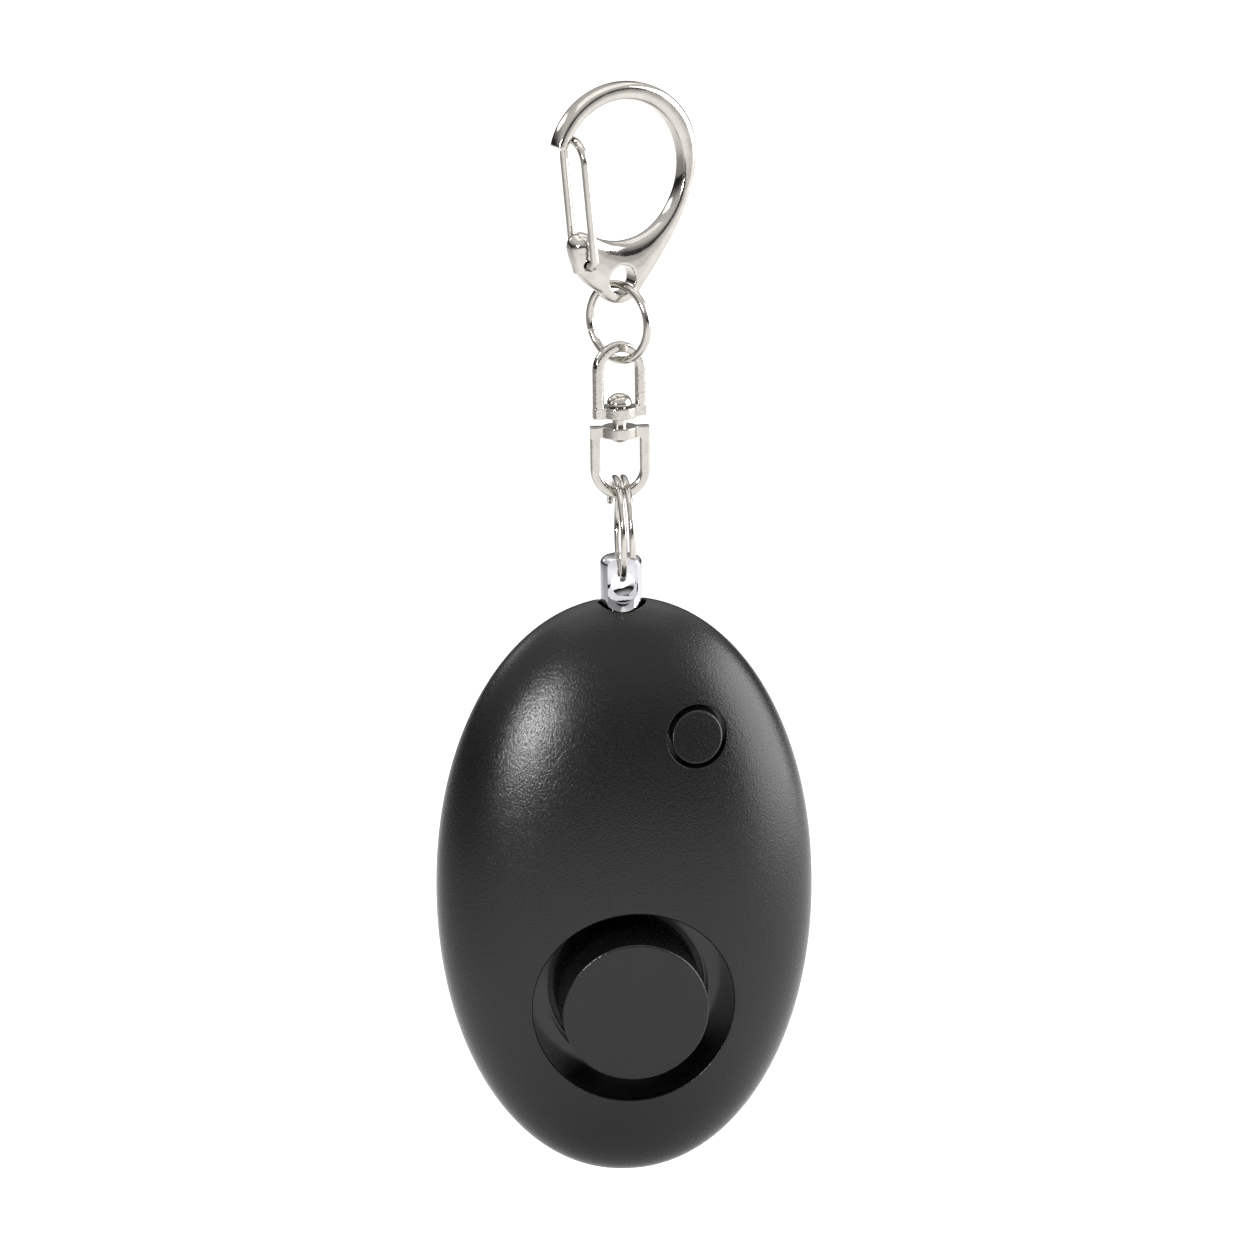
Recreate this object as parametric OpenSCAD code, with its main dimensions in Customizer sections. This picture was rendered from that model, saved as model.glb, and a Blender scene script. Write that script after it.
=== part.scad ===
// Personal safety alarm: an egg-shaped case that hangs on a swivel chain with a D snap hook.
// Millimetres, +Z up, front towards -Y. The origin is the inside crown of the hook, where it hangs.

/* [Case] */
// Width of the egg-shaped case
case_w = 42; // [38:0.5:50]
// Height of the case
case_h = 66.2; // [60:0.1:76]
// Depth of the case, front to back
case_d = 22; // [20.5:0.5:28]
// Fullness of the outline, where 2 is a plain ellipse
case_fullness = 2.07; // [2:0.01:2.3]
// Wall thickness of both shells
wall = 1.6; // [1.2:0.1:2]
// Height of the lip on the back shell
lip_h = 0.9; // [0.6:0.1:1.2]
// Clearance round the lip
lip_gap = 0.1; // [0.05:0.05:0.2]
// How much the foot of the case is cut flat
foot_cut = 0.35; // [0.3:0.05:0.5]

/* [Sound outlet] */
// Bore of the round recess in the front
recess_d = 22.4; // [20:0.2:23.4]
// Drop of the recess below the middle of the case
recess_drop = 11.35; // [11:0.05:13]
// Distance of the recess ledge from the parting plane
ledge_y = 1.9; // [1.6:0.1:3]
// Thickness of the ledge
ledge_t = 1.5; // [1:0.1:1.5]
// Bore through the ledge
throat_d = 18.2; // [17.6:0.1:19]
// Diameter of the disc in the recess
disc_d = 16.2; // [14:0.1:17]
// How far the disc stands proud of the case
disc_proud = 0.8; // [0:0.1:1.5]

/* [Light button] */
// Diameter of the push button
button_d = 5.7; // [5:0.1:7]
// Clearance round the button
button_gap = 0.5; // [0.3:0.05:0.6]
// Offset of the button to the right
button_x = 7.35; // [6:0.05:8]
// Height of the button above the middle of the case
button_rise = 19.1; // [18:0.1:20]
// How far the button stands proud of the case
button_proud = 0.2; // [0.1:0.1:1.2]
// Travel of the button when pressed
button_travel = 0.6; // [0.3:0.1:0.8]

/* [Pull pin] */
// Diameter of the pin's head
pin_d = 4.7; // [4.2:0.1:5.4]
// Distance between the two flats on the head
pin_flats = 3.3; // [2.8:0.1:4]
// Height of the head above the case
pin_rise = 4.78; // [4.4:0.02:6]
// Cross hole in the head
pin_hole_d = 2.65; // [2:0.05:2.8]
// Depth of the cross hole's centre below the top of the head
pin_hole_drop = 2.85; // [2.4:0.05:3.2]
// Radial gap round the head in its socket
pin_gap = 0.32; // [0.2:0.02:0.4]
// Length of the head inside the case
pin_seat = 5.7; // [5:0.1:6]
// Pull that takes the pin right out
pin_travel = 20; // [14:0.5:24]

/* [Split ring] */
// Outer diameter of the split ring
split_ring_d = 12; // [11:0.1:14]
// Wire of the split ring
split_wire = 0.85; // [0.7:0.05:1]
// Sideways step of one turn
split_pitch = 1.35; // [1.3:0.05:1.6]
// Play of the pin on the split ring
pin_play = 0.6; // [0.3:0.05:0.8]

/* [Swivel] */
// Width of the lower bail
lower_bail_w = 6.6; // [6:0.1:8]
// Height of the lower bail
lower_bail_h = 8.15; // [7.5:0.05:10]
// Width of the upper bail
upper_bail_w = 6.2; // [6:0.1:8]
// Height of the upper bail
upper_bail_h = 8.4; // [7.5:0.05:10]
// Turn of the upper bail about the chain
upper_bail_yaw = 18; // [0:1:30]
// Thickness of the bail's bow
bail_wire = 1.15; // [1:0.05:1.3]
// Height of the cross bar
bar_h = 1.2; // [1:0.05:1.5]
// Diameter of the hub in the cross bar
hub_d = 3.9; // [3.6:0.1:4.4]
// Gap between the two cross bars
swivel_gap = 1; // [0.6:0.05:1.4]
// Shank of the swivel rivet
rivet_d = 1.6; // [1.2:0.05:1.8]
// Head of the swivel rivet
rivet_head_d = 2.8; // [2.4:0.1:3.2]
// Height of the rivet's domed head
rivet_head_h = 1.3; // [0.9:0.05:1.4]
// Radial running fit of the rivet in the upper bail
rivet_fit = 0.08; // [0.04:0.01:0.1]

/* [Link ring] */
// Outer diameter of the ring between hook and swivel
link_ring_d = 9.3; // [9:0.1:11]
// Wire of that ring
link_wire = 0.9; // [0.8:0.05:1]
// Turn of that ring about the chain
link_ring_yaw = -48; // [-60:1:-30]
// Slack between two links
chain_gap = 0.45; // [0.35:0.05:0.6]

/* [Snap hook] */
// Width of the D opening
hook_open_w = 14.6; // [13:0.1:17]
// Height of the D opening
hook_open_h = 15.5; // [14:0.1:18]
// Thickness of the arm at the crown
hook_crown = 1.94; // [1.6:0.02:2.4]
// Thickness of the arm at its right side
hook_side = 1.8; // [1.5:0.05:2.4]
// Thickness of the casting, front to back
hook_t = 2.4; // [2:0.1:2.6]
// Rounding of the casting's edges
hook_round = 0.5; // [0.3:0.05:0.55]
// Turn of the hook about the chain
hook_yaw = 22; // [10:1:30]
// Eye for the link ring
eye_d = 3.2; // [3:0.1:3.4]
// Depth of the eye's centre below the inside crown
eye_drop = 19.6; // [19:0.1:20.4]
// Wall of the casting round the eye
eye_wall = 1.2; // [1:0.05:1.5]
// Thickness of the ear that carries the gate
ear_t = 3.4; // [3:0.1:3.8]
// Radius of the ear's round top
ear_r = 1.5; // [1.3:0.05:1.6]
// Wire of the gate
gate_wire_d = 0.9; // [0.8:0.05:1]
// Gap between the gate's legs and the ear
gate_gap = 0.3; // [0.2:0.05:0.4]
// Radial running fit of the gate's feet in the ear
gate_fit = 0.05; // [0.03:0.01:0.08]

/* [Inside] */
// Diameter of a button cell
cell_d = 11.6; // [11.4:0.1:11.6]
// Thickness of a button cell
cell_t = 5.4; // [5:0.1:5.4]
// Number of button cells
cell_count = 3; // [3:1:3]
// Height of the cells' axis above the middle of the case
cell_rise = 7.2; // [7:0.1:7.4]
// Distance of the cells' axis behind the parting plane
cell_y = 1.2; // [1:0.1:1.4]
// Front face of the circuit board, behind the parting plane
board_y = 2.6; // [2.4:0.1:3]
// Thickness of the circuit board
board_t = 1; // [0.8:0.1:1.2]
// Diameter of the piezo plate
piezo_d = 20; // [19:0.2:20.4]
// Screws that hold the shells
screw_d = 1.9; // [1.6:0.1:2]
// Offset of each screw from the middle
screw_x = 13.6; // [13.4:0.1:14]
// Small clearance between fitted inner pieces
fit_gap = 0.1; // [0.05:0.05:0.2]

/* [Hidden] */
$fn = 48;

// Finishes
nickel = [0.80, 0.79, 0.76];
chrome = [0.88, 0.88, 0.90];
black_abs = [0.16, 0.16, 0.16];
brass = [0.78, 0.63, 0.30];
steel = [0.66, 0.67, 0.69];

// Places along the chain, from the hang point down
eye_z = -eye_drop;
link_r = (link_ring_d - link_wire) / 2;
link_top_z = eye_z - eye_d / 2 + chain_gap + link_wire / 2;
link_z = link_top_z - link_r;
link_bottom_z = link_z - link_r;
upper_bail_top = link_bottom_z + link_wire / 2 + chain_gap + bail_wire;
upper_bail_bottom = upper_bail_top - upper_bail_h;
lower_bail_top = upper_bail_bottom - swivel_gap;
lower_bail_bottom = lower_bail_top - lower_bail_h;
lower_bow_z = lower_bail_bottom + bail_wire / 2;
split_r = (split_ring_d - split_wire) / 2;
split_play = 0.6;
split_z = lower_bow_z + bail_wire / 2 + split_play + split_wire / 2 - split_r;
split_bottom_z = split_z - split_r;
pin_hole_z = split_bottom_z + split_wire / 2 + pin_play - pin_hole_d / 2;
pin_top_z = pin_hole_z + pin_hole_drop;
case_top_z = pin_top_z - pin_rise;
case_z = case_top_z - case_h / 2;

// Places inside the case, measured from the middle of the case
pole = case_h / 2;
head_bottom = pole - pin_seat;
pin_round = 0.5;
pin_shoulder = 0.5;
pin_foot_gap = 0.3;
chimney_wall = 1.7;
chimney_floor_t = 1.1;
socket_floor = head_bottom - pin_foot_gap;
chimney_r = pin_d / 2 + pin_gap + chimney_wall;
chimney_bottom = socket_floor - chimney_floor_t;
blade_gap = 0.3;
cradle_wall = 0.9;
cradle_bore = cell_d + 4 * fit_gap;
cradle_half = cradle_bore / 2 + cradle_wall;
cradle_top = cell_rise + cradle_half;
cradle_back = 6;
cradle_front = -0.2;
board_bottom = cradle_top + 2 * fit_gap;
board_top = chimney_bottom - 4 * fit_gap;
board_back = board_y + board_t;
board_foot_half = 13.5;
board_shoulder_half = 12.4;
board_shoulder = 4;
board_top_half = 7;
shank_tip_gap = 0.4;
shank_tip = cradle_top + shank_tip_gap;
shank_t = 1.4;
shank_chamfer = 0.2;
stud_d = 2;
stud_h = 2.7;
stud_root = 0.5;
shank_half = 1.1;
leaf_w = 2;
leaf_foot_h = 1.2;
leaf_foot_z = cradle_top + leaf_foot_h + 2 * fit_gap;
leaf_top_gap = 0.9;
leaf_tail = 0.4;
leaf_contact_z = chimney_bottom - leaf_top_gap - leaf_tail;
leaf_arm = leaf_contact_z - leaf_foot_z;
leaf_clear = 0.06;
leaf_bead = 0.59;
leaf_x = shank_half + leaf_clear + leaf_bead;
leaf_t = 0.25;
shank_taper = shank_half / pin_travel;
recess_z = -recess_drop;
ledge_back = -(ledge_y - ledge_t);
cap_flange_t = 1;
cap_rim = 0.4;
cap_flange_in = 0.3;
cap_tab_w = 1.8;
cap_tab_root = 0.8;
cap_back = ledge_back + cap_flange_t;
piezo_t = 0.3;
ceramic_t = 0.25;
ceramic_d = 0.7 * piezo_d;
cup_front = cap_back + piezo_t;
cup_h = 4;
cup_wall = 1.2;
cup_floor = 1;
cup_port_r = 1.5;
cup_back = cup_front + cup_h;
window_d = 2.8;
window_t = 2.2;
window_flat = pole - foot_cut;
window_gap = fit_gap;
window_flange_w = 0.8;
window_flange_d = window_d + 2 * window_flange_w;
window_flange_t = 0.8;
led_r = 1.5;
led_h = 3.9;
led_y = ledge_back + led_r + 2 * fit_gap;
window_flange_z = -window_flat + window_t;
lip_clear = 0.6;
lip_root = 0.5;
screw_z = -1;
screw_seat_y = 3;
screw_boss_d = 4.8;
screw_head_d = 3.8;
screw_head_h = 1.4;
screw_slot_l = 2.8;
screw_slot_w = 0.5;
screw_slot_h = 0.6;
screw_tip_gap = 1;
chip_x = -7;
chip_w = 3;
chip_t = 1;
chip_lift = 0.2;
chip_leg = 0.9;
chip_z = board_bottom + 4 * fit_gap;
leg_pitch = 0.65;
leg_w = 0.3;
leg_t = 0.25;
coil_d = 3.6;
coil_wound_d = 3;
coil_h = 3.6;
coil_flange = 0.6;
coil_x = -5.2;
coil_z = chip_z + chip_w + 3.5 * fit_gap + coil_d / 2;
transistor_w = 2.9;
transistor_h = 1.5;
transistor_t = 1.1;
peg_d = 1.4;
peg_x = 11.4;
peg_rise = 3;
peg_proud = 0.4;
rib_x = 6;
rib_t = 1.2;
cup_seat_d = 14;
guide_back = 4.6;
flange_t = 1;
switch_w = 6;
switch_t = 3.5;
switch_front = board_y - switch_t;
plunger_out = 1;
plunger_d = 3.4;
plunger_in = 1.2;
plunger_floor = switch_front + plunger_in + button_travel + fit_gap;
stem_d = 3;
cell_apart = 0.05;
cell_step = 0.6;
cell_cap_h = 0.3;
stack_w = cell_count * (cell_t + cell_apart);
spring_room = 2;
contact_t = 0.3;
contact_d = cell_d - 3;
spring_w = 3;
spring_half = cell_d / 2 - 1.4;
cradle_w = stack_w + spring_room + contact_t + 2 * cradle_wall + 2 * fit_gap;
stack_left = -cradle_w / 2 + cradle_wall + contact_t + fit_gap;

// Facets of the shells' loft, and of the coarser one that bosses end in, inside the wall
egg_sectors = 60;
egg_rings = 10;
root_sectors = 32;
root_rings = 6;

// Signed power, for the superellipse
function signed_pow(v, e) = sign(v) * pow(abs(v), e);

// Outline of the egg in the XZ plane, grown or shrunk and scaled towards its middle
function egg_outline(grow, s = 1, sectors = egg_sectors) = [
    for (i = [0:sectors - 1])
        let (t = 360 * i / sectors, e = 2 / case_fullness)
        [s * (case_w / 2 + grow) * signed_pow(cos(t), e), s * (case_h / 2 + grow) * signed_pow(sin(t), e)]
];

// Depth of the egg's front at x, z, measured from the parting plane
function egg_depth(x, z, grow = 0) =
    let (
        px = pow(abs(x) / (case_w / 2 + grow), case_fullness),
        pz = pow(abs(z) / (case_h / 2 + grow), case_fullness)
    )
    (case_d / 2 + grow) * sqrt(1 - pow(px + pz, 2 / case_fullness));

// Outward direction of the egg's front at x, z
function egg_normal(x, z) =
    let (
        d = 0.01,
        gx = (egg_depth(x + d, z) - egg_depth(x - d, z)) / (2 * d),
        gz = (egg_depth(x, z + d) - egg_depth(x, z - d)) / (2 * d),
        n = [-gx, -1, -gz]
    )
    n / norm(n);

// Rings of the front half, from the parting plane to just short of its pole
function egg_half_points(grow, sectors = egg_sectors, rings = egg_rings) = concat(
    [for (j = [0:rings - 1], p = egg_outline(grow, cos(90 * j / rings), sectors))
        [p[0], -(case_d / 2 + grow) * sin(90 * j / rings), p[1]]],
    [[0, -(case_d / 2 + grow), 0]]
);

// Side faces of a stack of rings that ends in a pole
function dome_faces(n, rings, first, flip) = concat(
    [for (j = [0:rings - 2], i = [0:n - 1])
        let (a = first + j * n + i, b = first + j * n + (i + 1) % n)
        flip ? [a, b, a + n] : [a, a + n, b]],
    [for (j = [0:rings - 2], i = [0:n - 1])
        let (a = first + j * n + i, b = first + j * n + (i + 1) % n)
        flip ? [b, b + n, a + n] : [b, a + n, b + n]],
    [for (i = [0:n - 1])
        let (last = first + (rings - 1) * n, a = last + i, b = last + (i + 1) % n, tip = last + n)
        flip ? [a, b, tip] : [a, tip, b]]
);

// Solid front half of the egg up to the middle of the wall
module root_half() {
    n = root_sectors;
    polyhedron(
        egg_half_points(-wall / 2, n, root_rings),
        concat([[for (i = [0:n - 1]) i]], dome_faces(n, root_rings, 0, false))
    );
}

// Hollow front half of the egg
module egg_shell() {
    n = egg_sectors;
    inner = n * egg_rings + 1;
    polyhedron(
        concat(egg_half_points(0), egg_half_points(-wall)),
        concat(
            dome_faces(n, egg_rings, 0, false),
            dome_faces(n, egg_rings, inner, true),
            [for (i = [0:n - 1]) let (k = (i + 1) % n) [i, k, inner + i]],
            [for (i = [0:n - 1]) let (k = (i + 1) % n) [k, inner + k, inner + i]]
        )
    );
}

// Keeps only what lies in front of the parting plane and inside the middle of the wall
module rooted_in_front() {
    intersection() {
        root_half();
        union()
            children();
    }
}

// Cylinder along Y from front to back
module rod_y(d, front, back) {
    translate([0, back, 0])
        rotate([90, 0, 0])
            cylinder(d = d, h = back - front);
}

// Turns +Z to the direction n
module facing(n) {
    rotate([0, acos(n[2]), atan2(n[1], n[0])])
        children();
}

module at_case() {
    translate([0, 0, case_z])
        children();
}

module at_board_pegs() {
    for (side = [-1, 1])
        translate([side * peg_x, 0, board_bottom + peg_rise])
            children();
}

module at_screws() {
    for (side = [-1, 1])
        translate([side * screw_x, 0, screw_z])
            children();
}

// Block round the pin's socket
module chimney() {
    translate([0, 0, chimney_bottom])
        cylinder(r = chimney_r, h = pole - chimney_bottom);
}

// Boss for each screw, up to the parting plane
module screw_bosses() {
    at_screws()
        rod_y(screw_boss_d, -case_d, 0);
}

// Openings on the parting plane that both shells share, and the flat foot
module shared_openings() {
    translate([0, 0, socket_floor])
        cylinder(d = pin_d + 2 * pin_gap, h = pole);
    translate([-shank_half - blade_gap, -shank_t / 2 - blade_gap, chimney_bottom - 1])
        cube([2 * (shank_half + blade_gap), shank_t + 2 * blade_gap, chimney_floor_t + 2]);
    translate([-case_w, -case_d, -pole - 1])
        cube([2 * case_w, 2 * case_d, 1 + foot_cut]);
    translate([0, 0, -pole - 1])
        cylinder(d = window_d + 2 * window_gap, h = window_flange_z + window_flange_t + pole + 1);
    translate([0, 0, window_flange_z - window_gap])
        cylinder(d = window_flange_d + 2 * window_gap, h = window_flange_t + 2 * window_gap);
}

// Closed band between two egg outlines, from front to back
module outline_band(grow_out, grow_in, front, back) {
    translate([0, back, 0])
        rotate([90, 0, 0])
            linear_extrude(back - front)
                difference() {
                    polygon(egg_outline(grow_out));
                    polygon(egg_outline(grow_in));
                }
}

module front_shell() {
    color(black_abs) at_case() difference() {
        union() {
            egg_shell();
            rooted_in_front() {
                chimney();
                screw_bosses();
                translate([0, 0, recess_z])
                    rod_y(recess_d + 2 * wall, -case_d, ledge_back);
                translate([button_x, 0, button_rise])
                    rod_y(button_d + 2 * button_gap + 2 * wall, -case_d, -guide_back);
            }
        }
        shared_openings();
        translate([0, 0, recess_z]) {
            rod_y(recess_d, -case_d, -ledge_y);
            rod_y(throat_d, -case_d, 1);
        }
        translate([button_x, 0, button_rise])
            rod_y(button_d + 2 * button_gap, -case_d, 0);
        at_screws()
            rod_y(screw_d + fit_gap, -screw_seat_y - screw_tip_gap, 1);
        outline_band(-wall / 2, -wall - lip_clear, -lip_h - lip_gap, 1);
    }
}

module back_shell() {
    color(black_abs) at_case() difference() {
        union() {
            mirror([0, 1, 0]) {
                egg_shell();
                rooted_in_front() {
                    chimney();
                    screw_bosses();
                    translate([0, 0, recess_z])
                        difference() {
                            rod_y(cup_seat_d, -case_d, -cup_back);
                            rod_y(cup_seat_d - 2 * wall, -case_d - 1, 0);
                        }
                    at_board_pegs()
                        rod_y(peg_d + 2 * wall, -case_d, -board_back);
                    for (side = [-1, 1])
                        difference() {
                            translate([side * rib_x - rib_t / 2, -case_d, cell_rise - cell_d / 2 + rib_t])
                                cube([rib_t, case_d - cradle_back, cell_d - 2 * rib_t]);
                            translate([side * rib_x - rib_t, -cell_y, cell_rise])
                                rotate([0, 90, 0])
                                    cylinder(d = cradle_bore, h = 2 * rib_t);
                        }
                }
            }
            at_board_pegs()
                rod_y(peg_d, board_y - peg_proud, board_back + 1);
            outline_band(-wall / 2 - lip_gap, -wall, -lip_h, lip_root);
        }
        shared_openings();
        at_screws() {
            rod_y(screw_d + 3 * fit_gap, -1, case_d);
            rod_y(screw_head_d + 4 * fit_gap, screw_seat_y, case_d);
        }
    }
}

module shell_screws() {
    color(steel) at_case() at_screws() {
        rod_y(screw_d, -screw_seat_y, screw_seat_y);
        difference() {
            rod_y(screw_head_d, screw_seat_y, screw_seat_y + screw_head_h);
            for (turn = [0, 90])
                translate([0, screw_seat_y + screw_head_h - screw_slot_h, 0])
                    rotate([0, turn, 0])
                        translate([-screw_slot_l / 2, 0, -screw_slot_w / 2])
                            cube([screw_slot_l, 2 * screw_slot_h, screw_slot_w]);
        }
    }
}

// Everything of a Y rod that lies behind a face set proud of the egg and parallel to it
module faced_rod(x, z, d, proud, back) {
    n = egg_normal(x, z);
    intersection() {
        translate([x, 0, z])
            rod_y(d, -case_d, back);
        translate([x, -egg_depth(x, z), z] + proud * n)
            facing(n)
                translate([0, 0, -2 * case_d])
                    cylinder(d = 3 * d, h = 2 * case_d);
    }
}

module light_button() {
    color(black_abs) at_case() {
        faced_rod(button_x, button_rise, button_d, button_proud, -guide_back + flange_t);
        translate([button_x, 0, button_rise]) {
            rod_y(button_d + 2 * button_gap + wall, -guide_back + fit_gap, -guide_back + fit_gap + flange_t);
            rod_y(stem_d, -guide_back + flange_t, switch_front - plunger_out);
        }
    }
}

module switch_plunger() {
    color("dimgray") at_case()
        translate([button_x, 0, button_rise])
            rod_y(plunger_d, switch_front - plunger_out, switch_front + plunger_in);
}

module tact_switch() {
    color("silver") at_case() difference() {
        translate([button_x - switch_w / 2, switch_front, button_rise - switch_w / 2])
            cube([switch_w, switch_t, switch_w]);
        translate([button_x, 0, button_rise])
            rod_y(plunger_d + 2 * fit_gap, switch_front - 1, plunger_floor);
    }
}

module circuit_board() {
    color("darkgreen") at_case() difference() {
        translate([0, board_back, 0])
            rotate([90, 0, 0])
                linear_extrude(board_t)
                    polygon([
                        [-board_foot_half, board_bottom], [board_foot_half, board_bottom],
                        [board_shoulder_half, board_bottom + board_shoulder], [board_top_half, board_top],
                        [-board_top_half, board_top], [-board_shoulder_half, board_bottom + board_shoulder]
                    ]);
        at_board_pegs()
            rod_y(peg_d + 2 * fit_gap, board_y - 1, board_back + 1);
    }
}

// Contact leaf beside the pin's blade, with a bead that rests on the blade
module contact_leaf(side) {
    color(brass) at_case() {
        translate([side * leaf_x - leaf_t / 2, -leaf_w / 2, leaf_foot_z - leaf_foot_h / 2]) {
            cube([leaf_t, leaf_w, leaf_arm + leaf_foot_h / 2 + leaf_tail]);
            cube([leaf_t, board_y + leaf_w / 2 - fit_gap / 2, leaf_foot_h]);
        }
        translate([side * leaf_x, 0, leaf_contact_z])
            rod_y(2 * leaf_bead, -leaf_w / 2, leaf_w / 2);
    }
}

module contact_leaf_left() {
    contact_leaf(-1);
}

module contact_leaf_right() {
    contact_leaf(1);
}

// Driver chip on two rows of legs
module driver_chip() {
    color([0.1, 0.1, 0.1]) at_case()
        translate([chip_x, board_y, chip_z]) {
            translate([-chip_w / 2, -chip_lift - chip_t, 0])
                cube([chip_w, chip_t, chip_w]);
            for (side = [0, 1], row = [-1.5:1.5])
                mirror([side, 0, 0])
                    translate([chip_w / 2 - leg_t / 2, 0, chip_w / 2 + row * leg_pitch - leg_w / 2]) {
                        translate([0, -leg_t, 0])
                            cube([chip_leg, leg_t, leg_w]);
                        translate([0, -chip_lift - leg_t, 0])
                            cube([leg_t, chip_lift + leg_t, leg_w]);
                    }
        }
}

// Wound drum coil above the chip
module boost_coil() {
    color("saddlebrown") at_case()
        translate([coil_x, board_y, coil_z])
            rotate([90, 0, 0])
                rotate_extrude()
                    polygon([
                        [0, 0], [coil_d / 2, 0], [coil_d / 2, coil_flange], [coil_wound_d / 2, coil_flange],
                        [coil_wound_d / 2, coil_h - coil_flange], [coil_d / 2, coil_h - coil_flange],
                        [coil_d / 2, coil_h], [0, coil_h]
                    ]);
}

// Transistor on the back of the board, with two legs below and one above
module transistor() {
    color([0.12, 0.12, 0.12]) at_case()
        translate([0, board_back, (board_bottom + board_top) / 2]) {
            translate([-transistor_w / 2, leg_t / 2, -transistor_h / 2])
                cube([transistor_w, transistor_t, transistor_h]);
            for (at = [[-1, -1], [1, -1], [0, 1]])
                translate([at[0] * transistor_w / 3 - leg_w / 2, 0, at[1] * transistor_h / 2 - leg_w])
                    cube([leg_w, leg_t, 2 * leg_w]);
        }
}

module sound_cap() {
    color(black_abs) at_case() {
        difference() {
            faced_rod(0, recess_z, disc_d, disc_proud, cap_back);
            translate([0, 0, recess_z])
                rod_y(disc_d - 2 * wall, -egg_depth(0, recess_z) + 2 * wall, cap_back + 1);
        }
        translate([0, 0, recess_z]) {
            difference() {
                rod_y(piezo_d + 2 * cap_rim, ledge_back, cap_back);
                rod_y(throat_d - 2 * cap_flange_in, ledge_back - 1, cap_back + 1);
            }
            for (k = [0:2])
                rotate([0, 90 + 120 * k, 0])
                    translate([disc_d / 2 - cap_tab_root, ledge_back, -cap_tab_w / 2])
                        cube([(throat_d - disc_d) / 2 + 1.5 * cap_tab_root, cap_flange_t, cap_tab_w]);
        }
    }
}

module piezo_plate() {
    color(brass) at_case()
        translate([0, 0, recess_z])
            rod_y(piezo_d, cap_back, cap_back + piezo_t);
}

module piezo_ceramic() {
    color("ivory") at_case()
        translate([0, 0, recess_z])
            rod_y(ceramic_d, cup_front, cup_front + ceramic_t);
}

module resonator_cup() {
    color("dimgray") at_case()
        translate([0, cup_front, recess_z])
            rotate([-90, 0, 0])
                rotate_extrude()
                    polygon([
                        [piezo_d / 2 - cup_wall, 0], [piezo_d / 2, 0],
                        [piezo_d / 2, cup_h], [cup_port_r, cup_h],
                        [cup_port_r, cup_h - cup_floor], [piezo_d / 2 - cup_wall, cup_h - cup_floor]
                    ]);
}

module battery_cells() {
    color("lightgray") at_case()
        for (k = [0:cell_count - 1])
            translate([stack_left + k * (cell_t + cell_apart), cell_y, cell_rise])
                rotate([0, 90, 0])
                    rotate_extrude()
                        polygon([
                            [0, 0], [cell_d / 2 - cell_step, 0], [cell_d / 2 - cell_step, cell_cap_h],
                            [cell_d / 2, cell_cap_h + cell_step], [cell_d / 2, cell_t], [0, cell_t]
                        ]);
}

module battery_cradle() {
    color("dimgray") at_case() difference() {
        translate([-cradle_w / 2, cradle_front, cell_rise - cradle_half])
            cube([cradle_w, cradle_back - cradle_front, 2 * cradle_half]);
        translate([-cradle_w / 2 + cradle_wall, cell_y, cell_rise])
            rotate([0, 90, 0])
                cylinder(d = cradle_bore, h = cradle_w - 2 * cradle_wall);
    }
}

// Flat contact at the left end of the cells
module battery_contact() {
    color(brass) at_case()
        translate([-cradle_w / 2 + cradle_wall + fit_gap / 2, cell_y, cell_rise])
            rotate([0, 90, 0])
                cylinder(d = contact_d, h = contact_t);
}

// Bowed leaf spring at the right end of the cells
module battery_spring() {
    bow = spring_room;
    bow_r = (spring_half * spring_half + bow * bow) / (2 * bow);
    right = cradle_w / 2 - cradle_wall - fit_gap / 2;
    color(steel) at_case()
        translate([right, cell_y - spring_w / 2, cell_rise])
            rotate([-90, 0, 0])
                linear_extrude(spring_w)
                    intersection() {
                        difference() {
                            translate([bow_r - bow, 0])
                                circle(r = bow_r);
                            translate([bow_r - bow, 0])
                                circle(r = bow_r - contact_t);
                        }
                        translate([-bow, -spring_half])
                            square([bow, 2 * spring_half]);
                    }
}

module light_window() {
    color([0.85, 0.87, 0.88]) at_case() {
        translate([0, 0, -window_flat])
            cylinder(d = window_d, h = window_flange_z + window_flat);
        translate([0, 0, window_flange_z])
            cylinder(d = window_flange_d, h = window_flange_t);
    }
}

module led() {
    led_tip = window_flange_z + window_flange_t + 2 * fit_gap;
    color("white") at_case()
        translate([0, led_y, led_tip])
            rotate_extrude()
                intersection() {
                    translate([0, led_r]) {
                        circle(r = led_r);
                        square([led_r, led_h]);
                    }
                    square([2 * led_r, led_h]);
                }
}

module pin_head() {
    length = pin_rise + pin_seat;
    color(chrome) at_case() difference() {
        translate([0, 0, head_bottom])
            rotate_extrude()
                polygon(concat(
                    [[0, 0], [pin_d / 2, 0]],
                    [for (k = [0:6])
                        [pin_d / 2 - pin_round * (1 - cos(15 * k)), length - pin_round * (1 - sin(15 * k))]],
                    [[0, length]]
                ));
        translate([0, 0, pin_hole_z - case_z]) {
            rod_y(pin_hole_d, -pin_d, pin_d);
            for (side = [0, 1])
                mirror([0, side, 0])
                    translate([0, pin_flats / 2, 0]) {
                        rod_y(pin_d - pin_shoulder, 0, pin_d);
                        translate([-pin_d, 0, 0])
                            cube([2 * pin_d, pin_d, 2 * pin_d]);
                    }
        }
        translate([0, 0, head_bottom - 1])
            cylinder(d = stud_d + fit_gap, h = 1 + stud_h + 3 * fit_gap);
    }
}

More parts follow.
